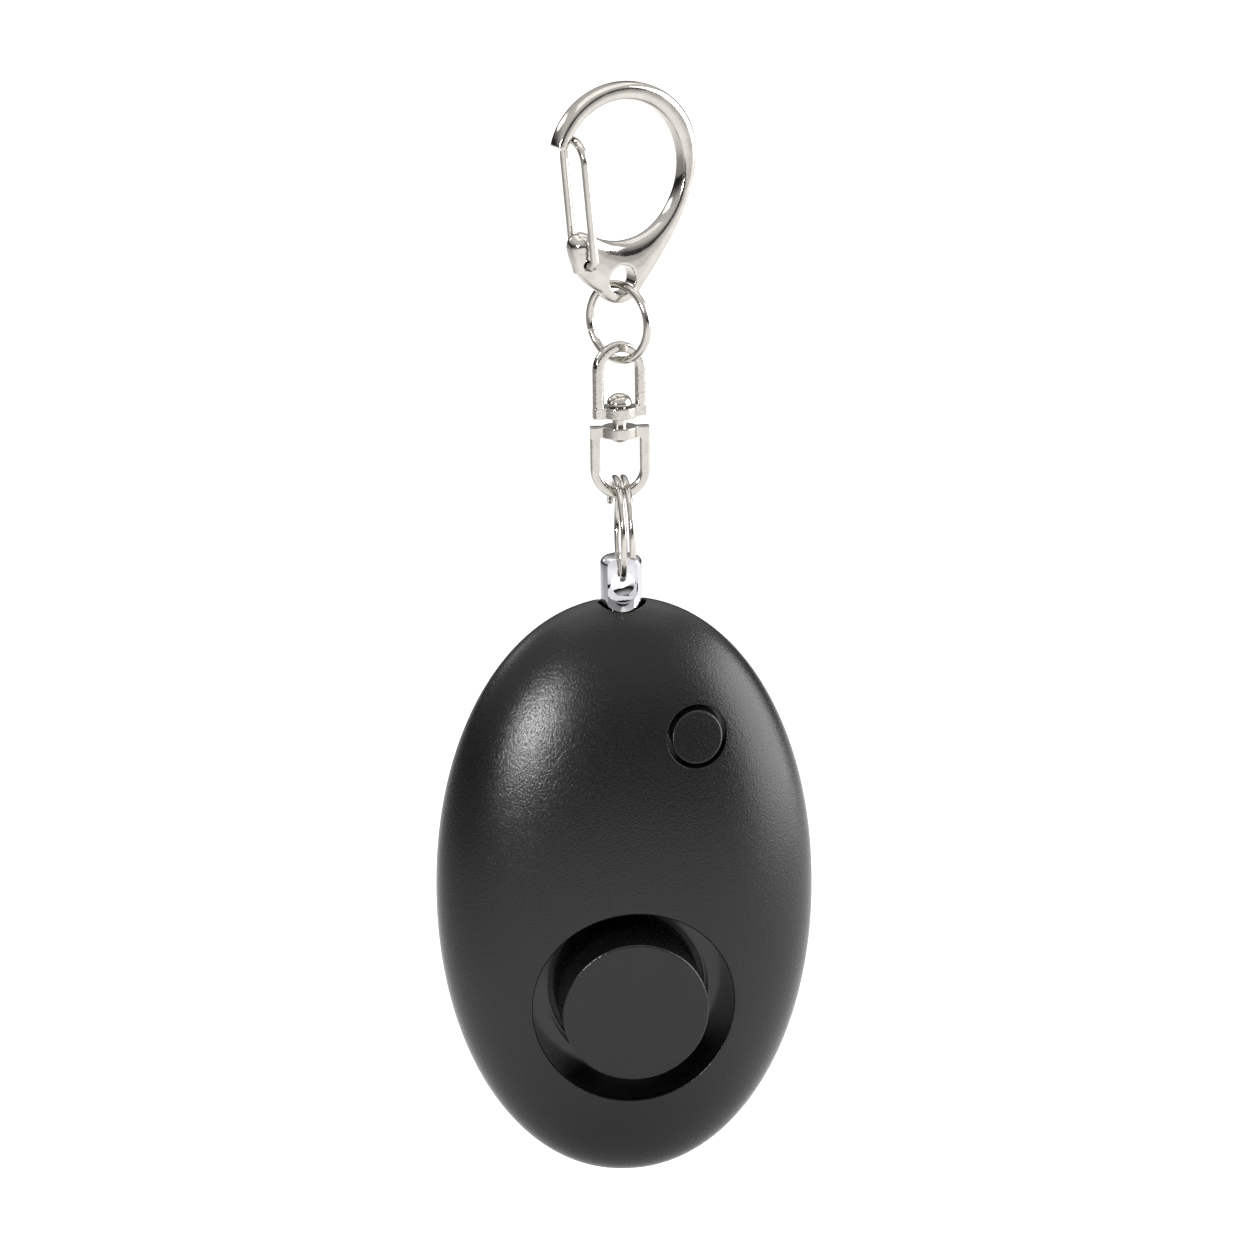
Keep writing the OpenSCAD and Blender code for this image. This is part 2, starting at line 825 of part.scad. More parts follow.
module pin_shank() {
    tip_half = shank_half - shank_taper * (leaf_contact_z - shank_tip);
    top_half = shank_half + shank_taper * (head_bottom - leaf_contact_z);
    color("whitesmoke") at_case() {
        translate([0, shank_t / 2, 0])
            rotate([90, 0, 0])
                linear_extrude(shank_t)
                    polygon([
                        [-tip_half + shank_chamfer, shank_tip], [tip_half - shank_chamfer, shank_tip],
                        [tip_half, shank_tip + 2 * shank_chamfer], [top_half, head_bottom],
                        [-top_half, head_bottom], [-tip_half, shank_tip + 2 * shank_chamfer]
                    ]);
        translate([0, 0, head_bottom - stud_root])
            cylinder(d = stud_d, h = stud_root + stud_h);
    }
}

// Split ring: one wire wound from the front right, over the top, and on to the back left
split_start = -24;
split_end = 522;
split_steps = 48;
split_sides = 8;

// Point on the wire's middle at angle t, counted from the front upwards
function split_point(t) = [
    -split_pitch * (t - 270) / 360,
    -split_r * cos(t),
    split_z + split_r * sin(t)
];

// Ring of points round the wire at angle t
function split_section(t) =
    let (
        lean = atan2(split_pitch, 2 * PI * split_r),
        out = [0, -cos(t), sin(t)],
        across = [cos(lean), sin(lean) * sin(t), sin(lean) * cos(t)]
    )
    [for (k = [0:split_sides - 1])
        let (a = 360 * k / split_sides)
        split_point(t) + split_wire / 2 * (cos(a) * out + sin(a) * across)];

// Side and end faces of a tube of rings
function tube_faces(n, rings) = concat(
    [[for (k = [0:n - 1]) k]],
    [for (j = [0:rings - 2], k = [0:n - 1])
        [j * n + k, (j + 1) * n + k, j * n + (k + 1) % n]],
    [for (j = [0:rings - 2], k = [0:n - 1])
        [j * n + (k + 1) % n, (j + 1) * n + k, (j + 1) * n + (k + 1) % n]],
    [[for (k = [n - 1:-1:0]) (rings - 1) * n + k]]
);

split_angles = [for (j = [0:split_steps]) split_start + (split_end - split_start) * j / split_steps];

// Least gap between wire surfaces that are at least half a turn apart
split_self_gap = min([
    for (a = split_angles, b = split_angles)
        if (b - a > 180) norm(split_point(a) - split_point(b)) - split_wire
]);
echo(split_ring_self_gap = split_self_gap);

module split_ring() {
    color(nickel)
        polyhedron(
            [for (t = split_angles) each split_section(t)],
            tube_faces(split_sides, split_steps + 1)
        );
}

// Fits and foot of the swivel rivet
rivet_seat = 0.02;
rivet_lift = 0.15;
rivet_foot_h = 0.5;
rivet_flare = 0.35;

// Bail: a bow on two legs with a cross bar and a drilled hub, hanging with its bow down from z = 0
module bail(width, height, bore) {
    leg_x = (width - bail_wire) / 2;
    bow_z = -height + width / 2;
    difference() {
        union() {
            translate([0, 0, bow_z])
                rotate([90, 0, 0])
                    rotate([0, 0, 180])
                        rotate_extrude(angle = 180)
                            translate([leg_x, 0])
                                circle(d = bail_wire);
            for (side = [-1, 1])
                translate([side * leg_x, 0, bow_z])
                    cylinder(d = bail_wire, h = -bow_z - bar_h / 2);
            translate([-width / 2, -bail_wire / 2, -bar_h])
                cube([width, bail_wire, bar_h]);
            translate([0, 0, -bar_h])
                cylinder(d = hub_d, h = bar_h);
        }
        translate([0, 0, -2 * bar_h])
            cylinder(d = bore, h = 3 * bar_h);
    }
}

module swivel_lower_bail() {
    color(nickel)
        translate([0, 0, lower_bail_top])
            bail(lower_bail_w, lower_bail_h, rivet_d + 2 * rivet_seat);
}

module swivel_upper_bail() {
    color(nickel)
        translate([0, 0, upper_bail_bottom])
            rotate([0, 180, upper_bail_yaw])
                bail(upper_bail_w, upper_bail_h, rivet_d + 2 * rivet_fit);
}

module swivel_rivet() {
    head_z = upper_bail_bottom + bar_h + rivet_lift;
    foot_z = lower_bail_top - bar_h;
    dome_r = (pow(rivet_head_d / 2, 2) + pow(rivet_head_h, 2)) / (2 * rivet_head_h);
    color(nickel) {
        translate([0, 0, foot_z])
            cylinder(d = rivet_d, h = head_z - foot_z + rivet_lift);
        translate([0, 0, head_z])
            rotate_extrude()
                intersection() {
                    translate([0, rivet_head_h - dome_r])
                        circle(r = dome_r);
                    square([rivet_head_d / 2, rivet_head_h]);
                }
        translate([0, 0, foot_z - rivet_foot_h])
            cylinder(d1 = rivet_d, d2 = rivet_d + 2 * rivet_flare, h = rivet_foot_h);
    }
}

module link_ring() {
    color(nickel)
        translate([0, 0, link_z])
            rotate([90, 0, link_ring_yaw])
                rotate_extrude()
                    translate([link_r, 0])
                        circle(d = link_wire);
}

// Snap hook, drawn in its own plane (u across, z up) and then turned about the chain
open_u = 0.35;
open_half_w = hook_open_w / 2;
open_half_h = hook_open_h / 2;
arm_lift = 0.58;
hook_nose = 1;
arm_half_h = (hook_open_h + hook_crown) / 2 - arm_lift;
arm_z = hook_crown - arm_half_h;
arm_half_w = open_half_w + (hook_side + hook_nose) / 2;
arm_u = open_u + (hook_side - hook_nose) / 2;
eye_u = 0;
ear_in = 3.4;
ear_drop = 0.1;
gate_in = 0.45;
gate_drop = 2;
ear_u = arm_u - arm_half_w + ear_in;
ear_z = -hook_open_h - ear_drop;
gate_u = ear_u + gate_in;
gate_z = ear_z - gate_drop;

// Point on a quadratic curve from a to c that leans towards b
function lean(a, b, c, t) = a * pow(1 - t, 2) + b * 2 * t * (1 - t) + c * pow(t, 2);

// Points on an ellipse from one angle up to, but not at, another
function arc(cu, cz, ru, rz, from, to, steps) = [
    for (k = [0:steps - 1])
        let (t = from + (to - from) * k / steps)
        [cu + ru * cos(t), cz + rz * sin(t)]
];

tip_r = eye_d / 2 + eye_wall;
side_from = [arm_u + arm_half_w, arm_z];
side_to = [eye_u + tip_r * cos(-25), eye_z + tip_r * sin(-25)];
left_from = [eye_u + tip_r * cos(-150), eye_z + tip_r * sin(-150)];
left_to = [ear_u - ear_r, ear_z];
side_lean = [arm_u + arm_half_w - 0.1, arm_z - 6.2];
left_lean = [ear_u - ear_r + 0.4, eye_z + 0.3];

// Outer edge of the casting: over the arm from its nose, down the side, round the tip, up to the ear
hook_outer = concat(
    arc(arm_u, arm_z, arm_half_w, arm_half_h, 167, 0, 18),
    [for (k = [0:7]) lean(side_from, side_lean, side_to, k / 8)],
    arc(eye_u, eye_z, tip_r, tip_r, -25, -150, 8),
    [for (k = [0:6]) lean(left_from, left_lean, left_to, k / 6)]
);

// Inner edge of the casting, point for point opposite the outer edge
hook_inner = concat(
    arc(open_u, -open_half_h, open_half_w, open_half_h, 160, 0, 18),
    arc(open_u, -open_half_h, open_half_w, open_half_h, 0, -66, 8),
    arc(open_u, -open_half_h, open_half_w, open_half_h, -66, -98, 8),
    arc(open_u, -open_half_h, open_half_w, open_half_h, -98, -118, 7)
);

cast_sides = 12;
cast_squareness = 3.6;

// Rounded section of the casting between an outer and an inner point
function cast_section(outer, inner, thick) =
    let (
        flatness = 2 / cast_squareness,
        middle = (outer + inner) / 2,
        half = (outer - inner) / 2
    )
    [for (k = [0:cast_sides - 1])
        let (
            t = 360 * k / cast_sides,
            p = middle + half * signed_pow(cos(t), flatness)
        )
        [p[0], -thick / 2 * signed_pow(sin(t), flatness), p[1]]];

// Round boss of the ear, with its edges rounded off
module ear_boss(u, z) {
    translate([u, 0, z])
        intersection() {
            rod_y(2 * ear_r, -ear_t / 2, ear_t / 2);
            sphere(r = norm([ear_r, ear_t / 2]) - hook_round / 2);
        }
}

module snap_hook() {
    color(nickel) rotate([0, 0, hook_yaw]) difference() {
        union() {
            polyhedron(
                [for (k = [0:len(hook_outer) - 1]) each cast_section(hook_outer[k], hook_inner[k], hook_t)],
                tube_faces(cast_sides, len(hook_outer))
            );
            ear_boss(ear_u, ear_z);
            ear_boss(gate_u, gate_z);
        }
        translate([eye_u, 0, eye_z])
            rod_y(eye_d, -hook_t, hook_t);
        translate([gate_u, 0, gate_z])
            rod_y(gate_wire_d + 2 * gate_fit, -ear_t, ear_t);
    }
}

// Gate: a wire bow on two legs whose feet turn in the ear
gate_half = ear_t / 2 + gate_gap + gate_wire_d / 2;
gate_top_z = -3.9;
nose_u = open_u - open_half_w * sqrt(1 - pow((gate_top_z + open_half_h) / open_half_h, 2));
nose_gap = 0.15;
gate_foot_gap = 0.3;
gate_top_u = nose_u + gate_wire_d / 2 + nose_gap;
gate_lean = atan2(gate_top_u - gate_u, gate_top_z - gate_z);
gate_len = norm([gate_top_u - gate_u, gate_top_z - gate_z]);

module gate_wire() {
    color(nickel) rotate([0, 0, hook_yaw])
        translate([gate_u, 0, gate_z])
            rotate([0, gate_lean, 0]) {
                for (side = [0, 1])
                    mirror([0, side, 0]) {
                        translate([0, gate_half, 0])
                            cylinder(d = gate_wire_d, h = gate_len - gate_half);
                        translate([0, gate_half, 0])
                            sphere(d = gate_wire_d);
                        rod_y(gate_wire_d, gate_foot_gap, gate_half);
                    }
                translate([0, 0, gate_len - gate_half])
                    rotate([90, 0, 90])
                        rotate_extrude(angle = 180)
                            translate([gate_half, 0])
                                circle(d = gate_wire_d);
            }
}

snap_hook();
gate_wire();
link_ring();
swivel_upper_bail();
swivel_rivet();
swivel_lower_bail();
split_ring();
pin_head();
pin_shank();
front_shell();
back_shell();
shell_screws();
light_button();
switch_plunger();
tact_switch();
circuit_board();
contact_leaf_left();
contact_leaf_right();
driver_chip();
boost_coil();
transistor();
sound_cap();
piezo_plate();
piezo_ceramic();
resonator_cup();
battery_cells();
battery_cradle();
battery_contact();
battery_spring();
light_window();
led();
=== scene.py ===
"""Personal safety alarm: a matte black egg-shaped case on a nickel-plated swivel chain with a D snap hook."""
import math

import bpy
from mathutils import Matrix, Vector


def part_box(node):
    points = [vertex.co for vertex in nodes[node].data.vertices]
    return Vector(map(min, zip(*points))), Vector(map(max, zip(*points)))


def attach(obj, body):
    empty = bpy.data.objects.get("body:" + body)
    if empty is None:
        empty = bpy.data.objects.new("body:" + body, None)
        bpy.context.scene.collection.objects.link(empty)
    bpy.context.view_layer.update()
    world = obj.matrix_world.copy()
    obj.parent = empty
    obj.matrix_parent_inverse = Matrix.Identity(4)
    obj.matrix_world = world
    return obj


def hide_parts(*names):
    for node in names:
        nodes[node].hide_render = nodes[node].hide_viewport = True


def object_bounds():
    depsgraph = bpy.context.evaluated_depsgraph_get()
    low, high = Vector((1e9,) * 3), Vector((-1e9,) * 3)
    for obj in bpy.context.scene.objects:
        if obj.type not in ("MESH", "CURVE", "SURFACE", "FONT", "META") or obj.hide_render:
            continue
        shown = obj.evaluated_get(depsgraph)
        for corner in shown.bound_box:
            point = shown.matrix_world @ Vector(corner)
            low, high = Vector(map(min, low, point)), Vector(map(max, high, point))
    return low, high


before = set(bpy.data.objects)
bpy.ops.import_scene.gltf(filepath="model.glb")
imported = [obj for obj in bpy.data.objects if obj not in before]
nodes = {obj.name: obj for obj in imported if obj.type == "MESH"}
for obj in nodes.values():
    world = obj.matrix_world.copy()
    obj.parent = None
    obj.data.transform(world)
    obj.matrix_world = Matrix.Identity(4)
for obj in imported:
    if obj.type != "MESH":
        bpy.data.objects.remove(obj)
cad_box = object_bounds()

MM = 0.001

# Pieces are modelled in millimetres and made metres when they are handed over.
# Sizes of the case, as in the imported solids
CASE_HALF_W = 21
CASE_HALF_H = 33.1
CASE_HALF_D = 11
CASE_FULLNESS = 2.07
WALL = 1.6
FOOT_CUT = 0.35
SEGMENTS = 224
RINGS = 128
GROOVE = 0.16
CASE_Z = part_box("light_window")[0].z / MM + CASE_HALF_H - FOOT_CUT

# Sound outlet, in the case's own coordinates
RECESS_R = 11.2
RECESS_Z = -11.35
LEDGE_Y = -1.9
LEDGE_T = 1.5
THROAT_R = 9.1
DISC_R = 8.1
DISC_PROUD = 0.8
LEDGE_BACK = -0.4
CAP_BACK = 0.6
CAP_FLANGE_R = 10.4
CAP_FLANGE_LAP = 0.3
DISC_EDGE_ROUND = 0.3
DISC_CROWN = 0.12
TAB_HALF_W = 0.9
TAB_INTO_DISC = 0.8
TAB_INTO_FLANGE = 0.4
# Three tabs in the lower half, behind the disc, since the photograph's slit is unbroken above
TAB_TURNS = (45, 90, 135)
RIM_ROUND = 0.28

# Light button
BUTTON_R = 2.85
BUTTON_GAP = 0.5
BUTTON_X = 7.35
BUTTON_Z = 19.1
BUTTON_PROUD = 0.2
GUIDE_BACK = -4.6
BUTTON_STEM_Y = -1.9
BUTTON_STEM_R = 1.5
BUTTON_FLANGE_T = 1
BUTTON_RIM_ROUND = 0.2
BUTTON_FLANGE_GAP = 0.1
BUTTON_EDGE_ROUND = 0.22
BUTTON_CROWN = 0.08

# Pull pin and its socket
PIN_R = 2.35
PIN_GAP = 0.32
PIN_FLATS = 3.3
PIN_HOLE_R = 1.325
PIN_HOLE_DROP = 2.85
PIN_TOP_ROUND = 0.9
PIN_BORE_R = 1.05
PIN_BORE_DEPTH = 3
PIN_FOOT_CHAMFER = 0.15
PIN_FLAT_INSET = 0.25
PIN_EDGE_ROUND = 0.14
SOCKET_DEPTH = 6
SOCKET_FLOOR = 1.1
SOCKET_RIM_ROUND = 0.25
# How far the head ends above the CAD's, which lets the dark seat in the case show as in the photograph
PIN_SEAT_SHOW = 0.7
CHIMNEY_R = PIN_R + PIN_GAP + 1.7

# Window at the bottom, and the two screws at the back
WINDOW_R = 1.4
WINDOW_GAP = 0.1
WINDOW_BORE_H = 3.4
WINDOW_FLANGE = 0.8
SCREW_X = 13.6
SCREW_Z = -1
SCREW_SEAT_Y = 3
SCREW_HOLE_R = 2.1
SCREW_BOSS_R = 2.4
SCREW_HEAD_H = 1.4
SCREW_HEAD_R = 1.9
SCREW_SHANK_R = 0.95
SCREW_SLOT_HALF_L = 1.2
SCREW_SLOT_HALF_W = 0.24
SCREW_SLOT_DEPTH = 0.75

# Wire and casting of the chain
LINK_WIRE_R = 0.45
LINK_JOINT = math.radians(200)
LINK_JOINT_HALF = math.radians(0.8)
LINK_JOINT_SHRINK = 0.8
# The turns lie closer and their wire is thinner than in the CAD, whose solid needs a gap between turns
SPLIT_WIRE_R = 0.37
SPLIT_CAD_WIRE_R = 0.425
SPLIT_PITCH = 0.92
SPLIT_FIRST_DEG = -22
SPLIT_LAST_DEG = 522
BAIL_WIRE = 1.15
GATE_WIRE_R = 0.45
BAR_H = 1.2
HUB_R = 1.95
UPPER_BAIL_W = 6.2
LOWER_BAIL_W = 6.6
RIVET_R = 0.8
RIVET_HEAD_R = 1.4
RIVET_HEAD_H = 1.3
BAIL_SQUARENESS = 3.4
BAIL_VOXEL = 0.06
HOOK_YAW = math.radians(22)
LINK_RING_YAW = math.radians(-48)
UPPER_BAIL_YAW = math.radians(18)

# Snap hook, in its own plane
OPEN_U = 0.35
OPEN_HALF_W = 7.3
OPEN_HALF_H = 7.75
ARM_U = 0.75
ARM_Z = -6.2
ARM_HALF_W = 8.7
ARM_HALF_H = 8.14
HOOK_T = 2.4
HOOK_EYE_Z = -19.6
EYE_R = 1.6
HOOK_EAR_U = -4.55
HOOK_EAR_Z = -15.6
EAR_R = 1.5
EAR_T = 3.4
HOOK_SQUARENESS = 3.2
EYE_WALL = 1.2
EAR_ROOT_INSET = 0.25
# Where arm and opening begin at the nose, and where the eye's rim begins and ends
ARM_NOSE_DEG = 167
OPEN_NOSE_DEG = 160
EYE_RIGHT_DEG = -25
EYE_LEFT_DEG = -150
HOOK_VOXEL = 0.11
GATE_U = -4.1
GATE_Z = -17.6
GATE_HALF = 2.45
GATE_LEN = 13.76
GATE_BEND = 0.55
GATE_FOOT = 0.35
GATE_BORE_GAP = 0.12
GATE_LEAN = math.radians(-5.36)


# Colours and nodes
def linear(hex_colour):
    """sRGB hex to linear RGBA."""
    channels = [int(hex_colour[k:k + 2], 16) / 255 for k in (1, 3, 5)]
    return [c / 12.92 if c <= 0.04045 else ((c + 0.055) / 1.055) ** 2.4 for c in channels] + [1.0]


def add_node(tree, kind, links=(), **settings):
    """Adds a node, sets its inputs by name or its own properties, and links (output, input name) pairs."""
    made = tree.nodes.new(kind)
    for name, value in settings.items():
        label = name.replace("_", " ")
        if label in made.inputs:
            made.inputs[label].default_value = value
        else:
            setattr(made, name, value)
    for output, name in links:
        tree.links.new(output, made.inputs[name])
    return made


def new_material(name):
    made = bpy.data.materials.new(name)
    made.use_nodes = True
    tree = made.node_tree
    shader = tree.nodes["Principled BSDF"]
    place = add_node(tree, "ShaderNodeTexCoord").outputs["Object"]
    return made, tree, shader, place


def per_metre(size_mm):
    """Texture scale whose features are about size_mm across."""
    return 1 / (size_mm * MM)


# Black ABS moulded in a spark-eroded tool: a dull, finely speckled black with small bright grains in the highlight
def spark_textured_abs():
    made, tree, shader, place = new_material("black_abs_spark_textured")
    # The real grain is about 0.1 mm, too fine to show, so it is drawn about twice as coarse
    grain = add_node(tree, "ShaderNodeTexNoise", [(place, "Vector")], Scale=per_metre(0.23), Detail=2.0,
                     Roughness=0.65)
    tone = add_node(tree, "ShaderNodeTexNoise", [(place, "Vector")], Scale=per_metre(6), Detail=2.0)
    colour = add_node(tree, "ShaderNodeValToRGB", [(tone.outputs["Fac"], "Fac")])
    colour.color_ramp.elements[0].color = linear("#080808")
    colour.color_ramp.elements[1].color = linear("#0e0e0e")
    gloss = add_node(tree, "ShaderNodeMapRange", [(grain.outputs["Fac"], "Value")], To_Min=0.12, To_Max=0.38)
    relief = add_node(tree, "ShaderNodeBump", [(grain.outputs["Fac"], "Height")], Strength=1.0, Distance=0.04 * MM)
    tree.links.new(colour.outputs["Color"], shader.inputs["Base Color"])
    tree.links.new(gloss.outputs["Result"], shader.inputs["Roughness"])
    tree.links.new(relief.outputs["Normal"], shader.inputs["Normal"])
    shader.inputs["IOR"].default_value = 1.42
    return made


# Black ABS from polished steel: the walls of the recess and holes, deep black with a sharp reflection
def polished_abs():
    made, tree, shader, place = new_material("black_abs_polished")
    flow = add_node(tree, "ShaderNodeTexNoise", [(place, "Vector")], Scale=per_metre(1.2), Detail=2.0)
    colour = add_node(tree, "ShaderNodeValToRGB", [(flow.outputs["Fac"], "Fac")])
    colour.color_ramp.elements[0].color = linear("#060606")
    colour.color_ramp.elements[1].color = linear("#0b0b0b")
    gloss = add_node(tree, "ShaderNodeMapRange", [(flow.outputs["Fac"], "Value")], To_Min=0.1, To_Max=0.2)
    tree.links.new(colour.outputs["Color"], shader.inputs["Base Color"])
    tree.links.new(gloss.outputs["Result"], shader.inputs["Roughness"])
    shader.inputs["IOR"].default_value = 1.5
    return made


# Bright nickel plate over cast zinc and wire: warm silver, a little wavy and finely pitted
def nickel_plate(name, wave_mm, pit_strength):
    made, tree, shader, place = new_material(name)
    wave = add_node(tree, "ShaderNodeTexNoise", [(place, "Vector")], Scale=per_metre(wave_mm), Detail=2.0)
    pits = add_node(tree, "ShaderNodeTexVoronoi", [(place, "Vector")], Scale=per_metre(0.3))
    tone = add_node(tree, "ShaderNodeValToRGB", [(wave.outputs["Fac"], "Fac")])
    tone.color_ramp.elements[0].color = linear("#aea9a2")
    tone.color_ramp.elements[1].color = linear("#cdc9c3")
    gloss = add_node(tree, "ShaderNodeMapRange", [(wave.outputs["Fac"], "Value")], To_Min=0.06, To_Max=0.17)
    broad = add_node(tree, "ShaderNodeBump", [(wave.outputs["Fac"], "Height")], Strength=0.25, Distance=0.05 * MM)
    fine = add_node(tree, "ShaderNodeBump",
                    [(pits.outputs["Distance"], "Height"), (broad.outputs["Normal"], "Normal")],
                    Strength=pit_strength, Distance=0.02 * MM)
    tree.links.new(tone.outputs["Color"], shader.inputs["Base Color"])
    tree.links.new(gloss.outputs["Result"], shader.inputs["Roughness"])
    tree.links.new(fine.outputs["Normal"], shader.inputs["Normal"])
    shader.inputs["Metallic"].default_value = 1.0
    return made


# Chrome plate over a moulded pin: a clean, cool mirror with only faint polishing haze
def chrome_plate():
    made, tree, shader, place = new_material("chrome_plate_polished")
    haze = add_node(tree, "ShaderNodeTexNoise", [(place, "Vector")], Scale=per_metre(1.5), Detail=3.0)
    tone = add_node(tree, "ShaderNodeValToRGB", [(haze.outputs["Fac"], "Fac")])
    tone.color_ramp.elements[0].color = linear("#bfbfc3")
    tone.color_ramp.elements[1].color = linear("#d2d2d6")
    gloss = add_node(tree, "ShaderNodeMapRange", [(haze.outputs["Fac"], "Value")], To_Min=0.02, To_Max=0.07)
    tree.links.new(tone.outputs["Color"], shader.inputs["Base Color"])
    tree.links.new(gloss.outputs["Result"], shader.inputs["Roughness"])
    shader.inputs["Metallic"].default_value = 1.0
    return made


# Clear acrylic, moulded: colourless, with slight flow lines in its gloss
def clear_acrylic():
    made, tree, shader, place = new_material("clear_acrylic_moulded")
    flow = add_node(tree, "ShaderNodeTexNoise", [(place, "Vector")], Scale=per_metre(1), Detail=1.0)
    gloss = add_node(tree, "ShaderNodeMapRange", [(flow.outputs["Fac"], "Value")], To_Min=0.03, To_Max=0.12)
    tree.links.new(gloss.outputs["Result"], shader.inputs["Roughness"])
    shader.inputs["Base Color"].default_value = linear("#eef1f2")
    shader.inputs["IOR"].default_value = 1.49
    shader.inputs["Transmission Weight"].default_value = 0.9
    return made


# The inner pieces: one small recipe of mottled colour, with gloss that varies and a fine relief
def workshop_finish(name, dark, light, grain_mm, gloss, metallic=0.0, relief=0.15):
    made, tree, shader, place = new_material(name)
    grain = add_node(tree, "ShaderNodeTexNoise", [(place, "Vector")], Scale=per_metre(grain_mm), Detail=3.0)
    tone = add_node(tree, "ShaderNodeValToRGB", [(grain.outputs["Fac"], "Fac")])
    tone.color_ramp.elements[0].color = linear(dark)
    tone.color_ramp.elements[1].color = linear(light)
    sheen = add_node(tree, "ShaderNodeMapRange", [(grain.outputs["Fac"], "Value")],
                     To_Min=gloss - 0.08, To_Max=gloss + 0.08)
    bump = add_node(tree, "ShaderNodeBump", [(grain.outputs["Fac"], "Height")], Strength=relief, Distance=0.02 * MM)
    tree.links.new(tone.outputs["Color"], shader.inputs["Base Color"])
    tree.links.new(sheen.outputs["Result"], shader.inputs["Roughness"])
    tree.links.new(bump.outputs["Normal"], shader.inputs["Normal"])
    shader.inputs["Metallic"].default_value = metallic
    return made


TEXTURED_ABS = spark_textured_abs()
POLISHED_ABS = polished_abs()
CAST_NICKEL = nickel_plate("nickel_plate_on_cast_zinc", 1.6, 0.12)
PITTED_NICKEL = nickel_plate("nickel_plate_pitted_cast", 0.7, 0.45)
WIRE_NICKEL = nickel_plate("nickel_plate_on_drawn_wire", 2.5, 0.06)
CHROME = chrome_plate()
CLEAR = clear_acrylic()
SCREW_STEEL = workshop_finish("zinc_plated_steel", "#8d9094", "#b4b7ba", 0.5, 0.32, metallic=1.0)
BRASS = workshop_finish("brass_rolled_strip", "#b48d45", "#cfa95e", 0.8, 0.28, metallic=1.0)
CELL_STEEL = workshop_finish("nickel_plated_steel_drawn", "#b3b3b1", "#cfcfcc", 1.0, 0.22, metallic=1.0)
GREY_ABS = workshop_finish("grey_abs_moulded", "#4a4b4d", "#56575a", 0.4, 0.5)
NYLON = workshop_finish("natural_nylon_moulded", "#d8d4c8", "#e7e4da", 0.6, 0.45)
LAMINATE = workshop_finish("glass_epoxy_green_mask", "#0f4a2a", "#15603a", 0.9, 0.3)
EPOXY = workshop_finish("black_epoxy_package", "#141415", "#1d1d1f", 0.3, 0.55)
FERRITE = workshop_finish("ferrite_and_enamelled_wire", "#3a2a1c", "#5c3b22", 0.35, 0.4)
LACQUER = workshop_finish("black_lacquer_on_brass", "#090909", "#101010", 0.6, 0.4)
CERAMIC = workshop_finish("silvered_piezo_ceramic", "#c9c5b4", "#dedbcc", 0.5, 0.35)

NODE_FINISH = {
    "pin_shank": NYLON, "switch_plunger": GREY_ABS, "tact_switch": GREY_ABS, "circuit_board": LAMINATE,
    "contact_leaf_left": BRASS, "contact_leaf_right": BRASS, "driver_chip": EPOXY, "boost_coil": FERRITE,
    "transistor": EPOXY, "piezo_plate": LACQUER, "piezo_ceramic": CERAMIC, "resonator_cup": GREY_ABS,
    "battery_cells": CELL_STEEL, "battery_cradle": GREY_ABS, "battery_contact": BRASS,
    "battery_spring": CELL_STEEL, "led": CLEAR,
}
for name, finish in NODE_FINISH.items():
    mesh = nodes[name].data
    mesh.materials.clear()
    mesh.materials.append(finish)


# Modelling helpers
def deselect():
    if bpy.context.mode != "OBJECT":
        bpy.ops.object.mode_set(mode="OBJECT")
    bpy.ops.object.select_all(action="DESELECT")


def choose(obj):
    """Makes obj the only selected and the active object."""
    deselect()
    obj.hide_viewport = False
    obj.select_set(True)
    bpy.context.view_layer.objects.active = obj


def start(operator, **settings):
    """Adds a primitive with nothing else selected, and returns it."""
    deselect()
    operator(**settings)
    return bpy.context.active_object


def edit(obj):
    choose(obj)
    bpy.ops.object.mode_set(mode="EDIT")


def leave_edit():
    bpy.ops.object.mode_set(mode="OBJECT")


def apply_place(obj):
    choose(obj)
    bpy.ops.object.transform_apply(location=True, rotation=True, scale=True)


def modify(obj, kind, **settings):
    """Adds a modifier and applies it."""
    choose(obj)
    modifier = obj.modifiers.new(kind.lower(), kind)
    for name, value in settings.items():
        setattr(modifier, name, value)
    bpy.ops.object.modifier_apply(modifier=modifier.name)


def combine(obj, other, operation):
    """Joins, cuts or keeps the overlap with another solid, which is used up. New faces keep their own finish."""
    modify(obj, "BOOLEAN", object=other, operation=operation, solver="EXACT", material_mode="TRANSFER")
    bpy.data.objects.remove(other)


def finish_with(obj, *materials):
    obj.data.materials.clear()
    for material in materials:
        obj.data.materials.append(material)


def outward(obj):
    """Merges doubles and turns every face outwards."""
    edit(obj)
    bpy.ops.mesh.select_all(action="SELECT")
    bpy.ops.mesh.remove_doubles(threshold=0.002)
    bpy.ops.mesh.normals_make_consistent(inside=False)
    leave_edit()


def move_points(obj, place):
    """Moves each point of a mesh to place(point)."""
    for point in obj.data.vertices:
        point.co = place(point.co)
    obj.data.update()


def hand_over(obj, name, body, cad_nodes, smooth_deg=32):
    """Names a finished piece, shades it, gives it its body and hides the CAD nodes it replaces."""
    obj.data.transform(Matrix.Scale(MM, 4))
    choose(obj)
    bpy.ops.object.shade_smooth_by_angle(angle=math.radians(smooth_deg))
    obj.name = name
    obj.data.name = name
    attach(obj, body)
    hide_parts(*cad_nodes)
    return obj


